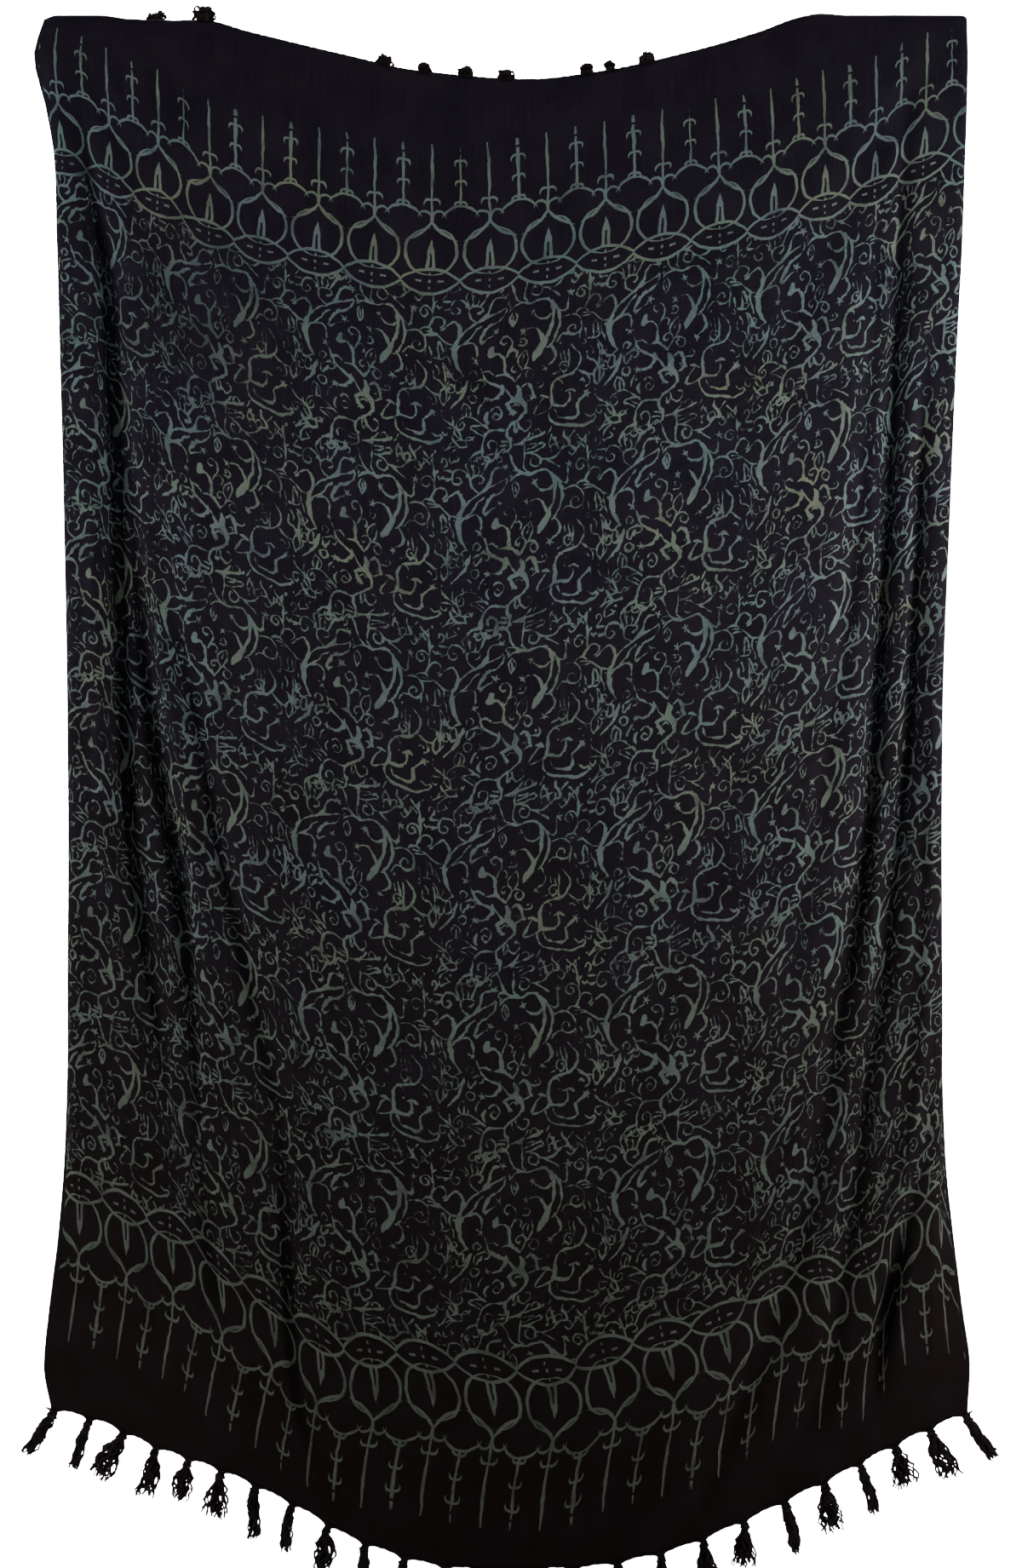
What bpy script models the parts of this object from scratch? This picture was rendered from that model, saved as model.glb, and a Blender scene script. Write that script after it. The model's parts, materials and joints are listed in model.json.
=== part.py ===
"""A batik sarong that hangs by its two top corners: one thin woven cloth, with a row of knotted tassels
along each of its short ends.

Metres, +Z up, and +X to the right of someone who looks at the printed face along +Y. The origin is on the
straight line that the two held corners pull tight, midway between them. Tables are in millimetres and
degrees. In them, x is measured from that midpoint, drop is measured down from that line, and cloth is
measured across the flat cloth from its left selvedge.
"""

import math

import bmesh
import bpy
import numpy as np
from mathutils import Vector

MM = 0.001


def table(columns, *rows):
    """Rows of numbers, kept as one array for each named column."""
    return dict(zip(columns.split(), np.array(rows, float).T))


# The cloth as it was woven and cut
CLOTH_WIDTH = 1150.0
CLOTH_LENGTH = 1640.0
CLOTH_WALL = 1.0

# How it hangs
HELD_HALF_SPAN = 505.0
CREASE_RADIUS = 12.0
LEFT_STRIP = 30.0
RIGHT_STRIP = 50.0
MARGIN_ROLL_RADIUS = 3.0
BELLY_FORWARD = 24.0
BELLY_HEIGHT = 2200.0
HEM_WAVE = 5.0
HEM_WAVE_PITCH = 236.0
HEM_WAVES_FROM = 1200.0
HEM_WAVES_GROW_OVER = 500.0

# The middle hangs smooth and is stretched a little at the hem. Small gathers at the sides take up the rest.
HEM_STRETCH = 0.05
SMOOTH_HALF_SPAN = 230.0
GATHERS_GROW_OVER = 160.0

# The top edge: straight where it is held, with a swag between.
TOP_SWAG = 73.0
TOP_LINE = table(
    "x drop",
    (-530, 0), (-455, 0), (-420, 4), (-340, 7), (-290, 20), (-188, 45), (-100, 64),
    (20, TOP_SWAG), (100, 64), (188, 45), (272, 21), (320, 4), (345, 0), (530, 0),
)

# The hem bellies down between its two corners. rise is above its lowest point.
HEM_LINE = table(
    "x rise",
    (-530, 180), (-505, 175), (-462, 165), (-389, 133), (-311, 107), (-242, 74), (-165, 31),
    (-77, 6), (0, 0), (69, 2), (162, 19), (253, 52), (335, 91), (419, 135), (500, 169), (530, 177),
)

# How far each side reaches, and how far its outer strip is turned away from the viewer.
SIDES = table(
    "drop left left_turn right right_turn",
    (0, -517, 60, 505, 88),
    (42, -528, 35, 505, 90),
    (101, -515, 66, 504, 90),
    (158, -506, 80, 502, 94),
    (247, -502, 92, 499, 100),
    (360, -499, 104, 493, 108),
    (547, -494, 92, 485, 95),
    (782, -490, 108, 476, 106),
    (923, -489, 96, 475, 92),
    (1134, -491, 84, 479, 85),
    (1252, -494, 60, 483, 72),
    (1351, -501, 25, 492, 52),
    (1431, -510, 6, 501, 38),
    (1492, -515, 3, 508, 24),
    (1536, -507, 3, 504, 8),
)

# The top margin is folded over to the back where it is held. Between the hands only its lip rolls back.
LIP_DEPTH = 5.0
TURNED_MARGIN = table(
    "cloth depth roll",
    (0, 63, 180), (30, 60, 180), (62, 50, 180), (94, 36, 180), (125, 22, 180), (155, 13, 160), (190, 6, 80),
    (230, LIP_DEPTH, 35), (900, LIP_DEPTH, 35), (945, 7, 80), (985, 15, 160), (1020, 24, 180),
    (1060, 36, 180), (1100, 47, 180), (1150, 52, 180),
)
HEM_DROP = TOP_SWAG + MARGIN_ROLL_RADIUS + CLOTH_LENGTH - LIP_DEPTH

# Folds run down and inwards from the held corners. deep is how far the cloth dips back along the line, or
# stands forward where it is negative, and spread is about a quarter of the fold's width.
FOLDS = {
    "left_outer": table(
        "drop x deep spread",
        (60, -480, 0, 10), (153, -469, 8, 10), (294, -446, 14, 12), (453, -439, 16, 13), (594, -435, 18, 13),
        (876, -423, 18, 14), (1111, -390, 14, 16), (1260, -372, 6, 16), (1380, -360, 0, 16),
    ),
    "left_middle": table(
        "drop x deep spread",
        (200, -450, 0, 12), (400, -430, 6, 12), (594, -412, 14, 13), (735, -399, 17, 13), (876, -376, 18, 14),
        (970, -361, 18, 14), (1087, -350, 15, 15), (1260, -340, 10, 15), (1367, -330, 12, 12),
        (1460, -318, 0, 12),
    ),
    "left_inner": table(
        "drop x deep spread",
        (420, -405, 0, 14), (641, -374, 8, 14), (782, -343, 14, 14), (900, -324, 16, 14),
        (1134, -272, 14, 15), (1250, -252, 12, 15), (1380, -246, 18, 11), (1487, -240, 30, 11),
        (1560, -228, 12, 13), (1650, -188, 0, 14),
    ),
    "right_outer": table(
        "drop x deep spread",
        (350, 458, 0, 10), (500, 451, 10, 10), (641, 446, 14, 10), (806, 437, 16, 11), (923, 424, 16, 12),
        (1040, 413, 15, 12), (1178, 391, 13, 12), (1299, 378, 12, 13), (1400, 366, 10, 14),
        (1500, 350, 8, 14), (1609, 282, 0, 15),
    ),
    "right_middle": table(
        "drop x deep spread",
        (60, 440, 0, 10), (172, 432, 7, 10), (407, 423, 14, 12), (594, 413, 17, 13), (735, 404, 17, 13),
        (876, 395, 17, 13), (1017, 377, 16, 14), (1087, 364, 14, 15), (1200, 345, 11, 16),
        (1351, 314, 10, 16), (1440, 290, 10, 16), (1520, 257, 9, 16), (1605, 225, 6, 15), (1670, 190, 0, 15),
    ),
    "right_inner": table(
        "drop x deep spread",
        (150, 410, 0, 12), (266, 404, 5, 12), (547, 382, 10, 14), (641, 372, 10, 14), (800, 350, 8, 16),
        (1000, 315, 5, 18), (1150, 285, 0, 18),
    ),
    "right_low": table(
        "drop x deep spread",
        (1250, 448, 0, 9), (1340, 434, 16, 10), (1420, 416, 27, 10), (1490, 404, 14, 11), (1550, 396, 0, 12),
    ),
    "right_low_ridge": table(
        "drop x deep spread",
        (640, 474, 0, 9), (760, 470, -6, 9), (1000, 462, -8, 10), (1180, 450, -8, 10), (1300, 436, -7, 11),
        (1400, 436, 0, 12),
    ),
    "left_outer_ridge": table(
        "drop x deep spread",
        (400, -464, 0, 10), (594, -460, -6, 10), (735, -455, -8, 10), (876, -448, -7, 11),
        (1000, -436, 0, 12),
    ),
    "right_swag": table(
        "drop x deep spread",
        (760, 262, 0, 22), (923, 216, 6, 22), (1100, 154, 7, 24), (1270, 94, 5, 26), (1420, 40, 0, 28),
    ),
    "left_corner_fan": table(
        "drop x deep spread",
        (30, -490, 0, 10), (120, -440, 4, 14), (260, -380, 4, 18), (420, -330, 0, 24),
    ),
    "right_corner_fan": table(
        "drop x deep spread",
        (30, 480, 0, 10), (110, 420, 4, 14), (240, 350, 4, 18), (400, 290, 0, 24),
    ),
}

# Where the solid has its columns and rows: close together where the folds are.
SIDE_COLUMN_STEP = 10.3
MIDDLE_COLUMN_STEP = 30.0
FOLDED_CLOTH_LEFT = 340.0
FOLDED_CLOTH_RIGHT = 800.0
FRONT_ROWS = 22
DENSE_FRONT_POINTS = 600
DENSE_STRIP_POINTS = 24
ROLL_SHARES = (1.0, 0.66, 0.33)

# The fringe: a narrow heading just off the cloth's edge, and tassels that grow out of it.
TASSEL_INSET = 4.0
HEM_TASSELS = 25
TOP_TASSELS = 28
HEADING_GAP = 0.4
HEADING_DEPTH = 3.6
HEADING_THICKNESS = 1.6
ROOT_HALF_WIDTH = 2.1
CORNER_STATIONS = 245.0
# Tassels were tied by hand, and those of the hem stray from an even spacing by this much.
HEM_STRAY = table("number stray", (0, 0), (3, 6), (7, -5), (12, -24), (18, -33), (21, -17), (24, 0))
CORNER_LEAN = 34.0
LEAN_WOBBLE = 6.0
BACK_SWING = 0.05
HANGS_CLEAR = 0.22
LOCK_LENGTH = 30.0
LOCK_SPLAY = 0.26
LOCK_STEPS = table("share half", (0.5, 1.25), (1.0, 0.55))

# A tassel's neck is twisted and then knotted. along is measured from its root.
HANGING_TASSEL = table(
    "along across through twist",
    (3, 1.5, 1.3, 0), (13, 1.9, 1.7, 70), (19, 4.1, 3.3, 90), (26, 3.1, 2.7, 110),
)
LOOPED_TASSEL = table(
    "along across through twist",
    (3, 1.5, 1.3, 0), (8, 1.9, 1.7, 40), (12.5, 4.0, 3.2, 60), (17, 3.6, 3.2, 80), (22, 2.8, 2.6, 100),
)
HANGING_TURN = 12.0
LOOPED_TURN = 24.0

NIGHT_BROWN = (0.010, 0.008, 0.010, 1.0)
FRINGE_BLACK = (0.006, 0.005, 0.006, 1.0)


def eased(keys, values, at):
    """Read a column between its rows, on one smooth curve that never overshoots a row."""
    at = np.clip(at, keys[0], keys[-1])
    step = np.diff(keys)
    slope = np.diff(values) / step
    product = slope[:-1] * slope[1:]
    total = np.where(product > 0, slope[:-1] + slope[1:], 1.0)
    tangent = np.concatenate(([slope[0]], np.where(product > 0, 2 * product / total, 0.0), [slope[-1]]))
    i = np.clip(np.searchsorted(keys, at, "right") - 1, 0, len(step) - 1)
    u = (at - keys[i]) / step[i]
    ends = values[i] * (1 + 2 * u) * (1 - u) ** 2 + values[i + 1] * u**2 * (3 - 2 * u)
    return ends + step[i] * (tangent[i] * u * (1 - u) ** 2 - tangent[i + 1] * u**2 * (1 - u))


def smooth_step(u):
    u = np.clip(u, 0.0, 1.0)
    return u * u * (3 - 2 * u)


def drop_of(x, share):
    """How far down a crosswise row lies at x. share is 0 on the fold line at the top and 1 at the hem."""
    top = eased(TOP_LINE["x"], TOP_LINE["drop"], x) + MARGIN_ROLL_RADIUS
    hem = HEM_DROP - eased(HEM_LINE["x"], HEM_LINE["rise"], x)
    return top + (hem - top) * share


def set_back(x, drop):
    """How far the cloth lies behind the plane of its held corners."""
    belly = BELLY_FORWARD * (1 - (x / HELD_HALF_SPAN) ** 2) * np.sin(math.pi * drop / BELLY_HEIGHT)
    waves = HEM_WAVE * smooth_step((drop - HEM_WAVES_FROM) / HEM_WAVES_GROW_OVER)
    back = waves * np.sin(2 * math.pi * x / HEM_WAVE_PITCH) - belly
    for fold in FOLDS.values():
        line, deep, spread = (eased(fold["drop"], fold[name], drop) for name in ("x", "deep", "spread"))
        back = back + deep * np.exp(-(((x - line) / spread) ** 2))
    return back


def turned_strip(width, turn):
    """An outer strip turned away over a round crease: how far its points are outwards and back."""
    along = np.linspace(0, width, DENSE_STRIP_POINTS)
    bent = np.minimum(along / CREASE_RADIUS, turn)
    straight = along - CREASE_RADIUS * bent
    outwards = CREASE_RADIUS * np.sin(bent) + straight * math.cos(turn)
    backwards = CREASE_RADIUS * (1 - np.cos(bent)) + straight * math.sin(turn)
    return outwards, backwards


def side_at(side, share):
    """The crease of a side and its turned strip, on one crosswise row."""
    drop = drop_of(-HELD_HALF_SPAN if side == "left" else HELD_HALF_SPAN, share)
    reach = float(eased(SIDES["drop"], SIDES[side], drop))
    turn = math.radians(float(eased(SIDES["drop"], SIDES[side + "_turn"], drop)))
    outwards, backwards = turned_strip(LEFT_STRIP if side == "left" else RIGHT_STRIP, turn)
    sign = -1 if side == "left" else 1
    crease = reach - sign * outwards.max()
    return crease, crease + sign * outwards, backwards


def row_of_cloth(share, cloth):
    """Where the points of one crosswise row hang. cloth is their places across the flat cloth."""
    left, left_x, left_back = side_at("left", share)
    right, right_x, right_back = side_at("right", share)
    front = np.linspace(left, right, DENSE_FRONT_POINTS)
    x = np.concatenate((left_x[:0:-1], front, right_x[1:]))
    strip_back = np.concatenate((left_back[:0:-1], np.zeros(DENSE_FRONT_POINTS), right_back[1:]))
    drop = drop_of(x, share)
    y = strip_back + set_back(np.clip(x, left, right), drop)
    points = np.stack((x, y, -drop), 1)
    run = np.linalg.norm(np.diff(points, axis=0), axis=1)
    taken = run / (1 + HEM_STRETCH * share)
    gathered = run * smooth_step((np.abs(x[1:]) - SMOOTH_HALF_SPAN) / GATHERS_GROW_OVER)
    taken += gathered * (CLOTH_WIDTH - taken.sum()) / gathered.sum()
    used = np.concatenate(([0], np.cumsum(taken)))
    return np.stack([np.interp(cloth, used, axis) for axis in points.T], 1)


def margin_rows(fold_line, cloth):
    """The turned-over top margin, from its free edge to the fold line."""
    depth = eased(TURNED_MARGIN["cloth"], TURNED_MARGIN["depth"], cloth)
    roll = np.radians(eased(TURNED_MARGIN["cloth"], TURNED_MARGIN["roll"], cloth))
    across = np.gradient(fold_line[:, :2], axis=0)
    across /= np.linalg.norm(across, axis=1)[:, None]
    inwards = np.stack((-across[:, 1], across[:, 0], np.zeros(len(cloth))), 1)
    upwards = np.array([0.0, 0.0, 1.0])
    flap = depth - MARGIN_ROLL_RADIUS * roll
    rows = []
    for share in ROLL_SHARES:
        angle = (roll * share)[:, None]
        rolled = inwards * (1 - np.cos(angle)) + upwards * np.sin(angle)
        rows.append(fold_line + MARGIN_ROLL_RADIUS * rolled)
    run_out = inwards * np.sin(roll)[:, None] + upwards * np.cos(roll)[:, None]
    return [rows[0] + run_out * flap[:, None]] + rows


def cloth_columns():
    """Places across the flat cloth where the solid has its columns."""
    left = np.linspace(0, FOLDED_CLOTH_LEFT, round(FOLDED_CLOTH_LEFT / SIDE_COLUMN_STEP) + 1)
    middle_steps = round((FOLDED_CLOTH_RIGHT - FOLDED_CLOTH_LEFT) / MIDDLE_COLUMN_STEP)
    middle = np.linspace(FOLDED_CLOTH_LEFT, FOLDED_CLOTH_RIGHT, middle_steps + 1)
    right_steps = round((CLOTH_WIDTH - FOLDED_CLOTH_RIGHT) / SIDE_COLUMN_STEP)
    right = np.linspace(FOLDED_CLOTH_RIGHT, CLOTH_WIDTH, right_steps + 1)
    return np.concatenate((left, middle[1:-1], right))


def hung_cloth(cloth):
    """Every row of the cloth where it hangs, from the free edge of the top margin down to the hem."""
    front = [row_of_cloth(share, cloth) for share in np.linspace(0, 1, FRONT_ROWS)]
    return np.array(margin_rows(front[0], cloth) + front)


def finish(bm, name, collection, material):
    mesh = bpy.data.meshes.new(name)
    bm.to_mesh(mesh)
    bm.free()
    mesh.materials.append(material)
    part = bpy.data.objects.new(name, mesh)
    collection.objects.link(part)
    return part


def cloth_panel(rows, collection, material):
    """A grid laid over the hung rows, given the cloth's wall."""
    down, across = rows.shape[0] - 1, rows.shape[1] - 1
    bm = bmesh.new()
    bmesh.ops.create_grid(bm, x_segments=across, y_segments=down, size=1.0)
    for vert in bm.verts:
        column = round((vert.co.x + 1) / 2 * across)
        row = round((1 - vert.co.y) / 2 * down)
        vert.co = Vector(rows[row, column]) * MM
    part = finish(bm, "cloth_panel", collection, material)
    part.data.shade_smooth()
    wall = part.modifiers.new("Cloth wall", "SOLIDIFY")
    wall.thickness = CLOTH_WALL * MM
    wall.offset = 0.0
    wall.use_even_offset = True
    return part


class Edge:
    """A free edge of the hung cloth, and the way out of the cloth along it."""

    def __init__(self, cloth, edge, inner):
        along = np.gradient(edge, axis=0)
        along /= np.linalg.norm(along, axis=1)[:, None]
        out = edge - inner
        out -= along * np.sum(along * out, axis=1)[:, None]
        out /= np.linalg.norm(out, axis=1)[:, None]
        self.cloth, self.edge, self.along, self.out = cloth, edge, along, out

    def read(self, values, cloth):
        return Vector([np.interp(cloth, self.cloth, axis) for axis in values.T])

    def at(self, cloth):
        """The point on the edge, and the unit vectors along it, out of the cloth and through its wall."""
        point = self.read(self.edge, cloth)
        out = self.read(self.out, cloth).normalized()
        along = self.read(self.along, cloth).normalized()
        return point, along, out, along.cross(out).normalized()


def follows_columns(cloth):
    """Whether a heading bends where the cloth's own columns do: round the corners, and across the middle."""
    at_corner = np.minimum(cloth, CLOTH_WIDTH - cloth) < CORNER_STATIONS
    return at_corner | ((cloth >= FOLDED_CLOTH_LEFT) & (cloth <= FOLDED_CLOTH_RIGHT))


def heading(bm, edge, roots):
    """The narrow bar that the tassels grow out of. Returns each tassel's root face."""
    ends = (roots[:, None] + [-ROOT_HALF_WIDTH, ROOT_HALF_WIDTH]).ravel()
    clear_of_roots = np.abs(edge.cloth[:, None] - roots).min(1) > 2 * ROOT_HALF_WIDTH
    columns = edge.cloth[clear_of_roots & follows_columns(edge.cloth)]
    between = (roots[:-1] + roots[1:]) / 2
    stations = np.sort(np.concatenate((ends, columns, between[~follows_columns(between)])))
    rings = []
    for cloth in stations:
        point, _, out, through = edge.at(cloth)
        near, far = point + out * HEADING_GAP, point + out * (HEADING_GAP + HEADING_DEPTH)
        half = through * HEADING_THICKNESS / 2
        rings.append([bm.verts.new(corner) for corner in (near - half, near + half, far + half, far - half)])
    outer_faces = []
    for one, two in zip(rings, rings[1:]):
        sides = [bm.faces.new((one[k], two[k], two[(k + 1) % 4], one[(k + 1) % 4])) for k in range(4)]
        outer_faces.append(sides[2])
    bm.faces.new(rings[0])
    bm.faces.new(rings[-1][::-1])
    first = np.searchsorted(stations, roots) - 1
    return [outer_faces[k] for k in first]


def grown(bm, face, centre, across, through, half_across, half_through, twist=0.0):
    """Extrude a four-sided face to a turned rectangle. Its corners keep their order."""
    face = bmesh.ops.extrude_discrete_faces(bm, faces=[face])["faces"][0]
    corners = ((-1, -1), (1, -1), (1, 1), (-1, 1))
    for vert, (a, b) in zip(face.verts, corners):
        a, b = a * half_across, b * half_through
        turned = across * (a * math.cos(twist) - b * math.sin(twist))
        vert.co = centre + turned + through * (a * math.sin(twist) + b * math.cos(twist))
    return face


def locks(bm, face, heading_way, seed):
    """Four loose locks out of the knot's end, each from its own quarter of it."""
    middle = face.calc_center_median()
    cut = bmesh.ops.subdivide_edges(bm, edges=list(face.edges), cuts=1, use_grid_fill=True)
    inner = [item for item in cut["geom_inner"] if isinstance(item, bmesh.types.BMVert)]
    hub = min(inner, key=lambda vert: (vert.co - middle).length)
    for k, quarter in enumerate(list(hub.link_faces)):
        root = quarter.calc_center_median()
        aside = (root - middle).normalized()
        length = LOCK_LENGTH * (1 + 0.14 * math.sin(3.1 * seed + 1.9 * k))
        splay = LOCK_SPLAY * (1 + 0.5 * math.sin(1.7 * seed + 2.3 * k))
        across = (quarter.verts[1].co - quarter.verts[0].co).normalized()
        through = heading_way.cross(across).normalized()
        if (quarter.verts[2].co - quarter.verts[1].co).dot(through) < 0:
            through = -through
        for share, half in zip(LOCK_STEPS["share"], LOCK_STEPS["half"]):
            spread = aside * (splay * math.sqrt(share))
            centre = root + (heading_way * share + spread) * length
            quarter = grown(bm, quarter, centre, across, through, half, half)


def tassel(bm, face, frame, hang, profile, turn_over, seed):
    """A twisted neck, a knot and four locks. The neck turns from the heading's way to the way it hangs."""
    _, along, out, _ = frame
    centre, reached = face.calc_center_median(), 0.0
    across = (face.verts[1].co - face.verts[0].co).normalized()
    if abs(across.dot(along)) < 0.7:
        across = (face.verts[2].co - face.verts[1].co).normalized()
    flip = 1 if (face.verts[1].co - face.verts[0].co).dot(across) > 0 else -1
    for place, half_across, half_through, twist in zip(*profile.values()):
        step = place - reached
        way = out.slerp(hang, float(smooth_step((reached + step / 2) / turn_over)))
        centre, reached = centre + way * step, place
        through = way.cross(across).normalized() * flip
        face = grown(bm, face, centre, across, through, half_across, half_through, math.radians(twist))
    locks(bm, face, hang, seed)


def fringe(name, edge, roots, hang_of, profile, turn_over, collection, material):
    bm = bmesh.new()
    for number, (cloth, face) in enumerate(zip(roots, heading(bm, edge, roots))):
        frame = edge.at(cloth)
        tassel(bm, face, frame, hang_of(number, frame), profile, turn_over, number)
    bmesh.ops.recalc_face_normals(bm, faces=bm.faces)
    bmesh.ops.scale(bm, vec=(MM, MM, MM), verts=bm.verts)
    return finish(bm, name, collection, material)


def hem_hang(number, frame):
    """Tassels at the hem lean outwards near its corners."""
    lean = CORNER_LEAN * (frame[0].x / HELD_HALF_SPAN) ** 3 + LEAN_WOBBLE * math.sin(2.4 * number)
    return Vector((math.sin(math.radians(lean)), 0.0, -math.cos(math.radians(lean))))


def back_hang(number, frame):
    """Tassels of the top edge hang down behind the cloth, and stand off it as they go."""
    along = frame[1]
    inwards = Vector((-along.y, along.x, 0.0)).normalized()
    swing = along * (BACK_SWING * math.sin(2.4 * number))
    return (inwards * HANGS_CLEAR + swing - Vector((0, 0, 1))).normalized()


def material(name, colour, roughness):
    made = bpy.data.materials.new(name)
    made.use_nodes = True
    shader = made.node_tree.nodes["Principled BSDF"]
    shader.inputs["Base Color"].default_value = colour
    shader.inputs["Roughness"].default_value = roughness
    shader.inputs["Metallic"].default_value = 0.0
    return made


def main():
    for old in list(bpy.data.objects):
        bpy.data.objects.remove(old, do_unlink=True)
    collection = bpy.data.collections.new("Batik sarong")
    bpy.context.scene.collection.children.link(collection)

    cloth = cloth_columns()
    rows = hung_cloth(cloth)
    rayon = material("Printed rayon", NIGHT_BROWN, 0.85)
    yarn = material("Fringe yarn", FRINGE_BLACK, 0.9)
    cloth_panel(rows, collection, rayon)
    hem = Edge(cloth, rows[-1], rows[-2])
    top = Edge(cloth, rows[0], rows[1])
    hem_roots = np.linspace(TASSEL_INSET, CLOTH_WIDTH - TASSEL_INSET, HEM_TASSELS)
    hem_roots += eased(HEM_STRAY["number"], HEM_STRAY["stray"], np.arange(HEM_TASSELS))
    top_roots = np.linspace(TASSEL_INSET, CLOTH_WIDTH - TASSEL_INSET, TOP_TASSELS)
    fringe("fringe_bottom", hem, hem_roots, hem_hang, HANGING_TASSEL, HANGING_TURN, collection, yarn)
    fringe("fringe_top", top, top_roots, back_hang, LOOPED_TASSEL, LOOPED_TURN, collection, yarn)


main()
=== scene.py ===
"""A batik sarong, hung by its two top corners: thin printed rayon, with knotted tassels on each short end.

Metres, +Z up, and +X to the right of someone who looks at the printed face along +Y. The origin is midway
between the two held corners, on the straight line that they pull tight. Tables are in millimetres and
degrees. In them, x is measured from that midpoint, drop down from that line, and cloth across the flat cloth
from its left selvedge.
"""

import json
import math
import random

import bpy
import numpy as np
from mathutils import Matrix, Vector

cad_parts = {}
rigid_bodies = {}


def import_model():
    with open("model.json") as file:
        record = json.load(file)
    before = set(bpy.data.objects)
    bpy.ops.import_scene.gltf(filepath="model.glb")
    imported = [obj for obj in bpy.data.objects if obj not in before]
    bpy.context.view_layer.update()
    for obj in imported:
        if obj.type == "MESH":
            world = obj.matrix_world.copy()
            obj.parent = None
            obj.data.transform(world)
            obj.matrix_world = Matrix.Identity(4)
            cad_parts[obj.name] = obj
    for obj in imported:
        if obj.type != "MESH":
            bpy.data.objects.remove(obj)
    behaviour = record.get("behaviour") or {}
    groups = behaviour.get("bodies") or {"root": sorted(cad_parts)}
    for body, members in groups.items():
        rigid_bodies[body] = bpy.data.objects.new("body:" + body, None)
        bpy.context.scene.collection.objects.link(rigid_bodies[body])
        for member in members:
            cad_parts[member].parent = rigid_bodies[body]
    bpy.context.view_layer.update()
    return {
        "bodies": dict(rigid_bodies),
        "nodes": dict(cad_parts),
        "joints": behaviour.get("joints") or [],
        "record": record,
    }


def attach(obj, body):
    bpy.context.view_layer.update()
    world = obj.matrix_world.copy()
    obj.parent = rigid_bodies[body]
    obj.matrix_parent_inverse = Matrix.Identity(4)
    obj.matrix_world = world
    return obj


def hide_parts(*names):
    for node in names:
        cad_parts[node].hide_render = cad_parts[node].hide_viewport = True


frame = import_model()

MM = 0.001


def table(columns, *rows):
    """Rows of numbers, kept as one array for each named column."""
    return dict(zip(columns.split(), np.array(rows, float).T))


def charted(chart):
    """The lines of a written chart, each a list of places with commas between their numbers. A line that is
    set in goes on from the one above. A place that leaves out its last number has the one before it."""
    lines = []
    for line in chart.strip().replace("\n    ", " ").splitlines():
        places = [list(map(float, place.split(","))) for place in line.split()]
        for before, place in zip(places, places[1:]):
            place.extend(before[len(place):])
        lines.append(places)
    return lines


def fold_lines(chart):
    return [table("drop x deep spread", *places) for places in charted(chart)]


# ----------------------------------------------------------------------------------------------------
# How the cloth hangs. These are the solid's own sizes.

CLOTH_WIDTH = 1150.0
CLOTH_LENGTH = 1640.0
HELD_HALF_SPAN = 505.0
CREASE_RADIUS = 12.0
LEFT_STRIP = 30.0
RIGHT_STRIP = 50.0
MARGIN_ROLL_RADIUS = 3.0
BELLY_FORWARD = 24.0
BELLY_HEIGHT = 2200.0
HEM_WAVE = 5.0
HEM_WAVE_PITCH = 236.0
HEM_WAVES_FROM = 1200.0
HEM_WAVES_GROW_OVER = 500.0
HEM_STRETCH = 0.05
SMOOTH_HALF_SPAN = 230.0
GATHERS_GROW_OVER = 160.0
TOP_SWAG = 73.0
TOP_LINE = table(
    "x drop",
    (-530, 0), (-455, 0), (-420, 4), (-340, 7), (-290, 20), (-188, 45), (-100, 64),
    (20, TOP_SWAG), (100, 64), (188, 45), (272, 21), (320, 4), (345, 0), (530, 0),
)
HEM_LINE = table(
    "x rise",
    (-530, 180), (-505, 175), (-462, 165), (-389, 133), (-311, 107), (-242, 74), (-165, 31),
    (-77, 6), (0, 0), (69, 2), (162, 19), (253, 52), (335, 91), (419, 135), (500, 169), (530, 177),
)
SIDES = table(
    "drop left left_turn right right_turn",
    (0, -517, 60, 505, 88),
    (42, -528, 35, 505, 90),
    (101, -515, 66, 504, 90),
    (158, -506, 80, 502, 94),
    (247, -502, 92, 499, 100),
    (360, -499, 104, 493, 108),
    (547, -494, 92, 485, 95),
    (782, -490, 108, 476, 106),
    (923, -489, 96, 475, 92),
    (1134, -491, 84, 479, 85),
    (1252, -494, 60, 483, 72),
    (1351, -501, 25, 492, 52),
    (1431, -510, 6, 501, 38),
    (1492, -515, 3, 508, 24),
    (1536, -507, 3, 504, 8),
)
LIP_DEPTH = 5.0
TURNED_MARGIN = table(
    "cloth depth roll",
    (0, 63, 180), (30, 60, 180), (62, 50, 180), (94, 36, 180), (125, 22, 180), (155, 13, 160), (190, 6, 80),
    (230, LIP_DEPTH, 35), (900, LIP_DEPTH, 35), (945, 7, 80), (985, 15, 160), (1020, 24, 180),
    (1060, 36, 180), (1100, 47, 180), (1150, 52, 180),
)
HEM_DROP = TOP_SWAG + MARGIN_ROLL_RADIUS + CLOTH_LENGTH - LIP_DEPTH

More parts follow.
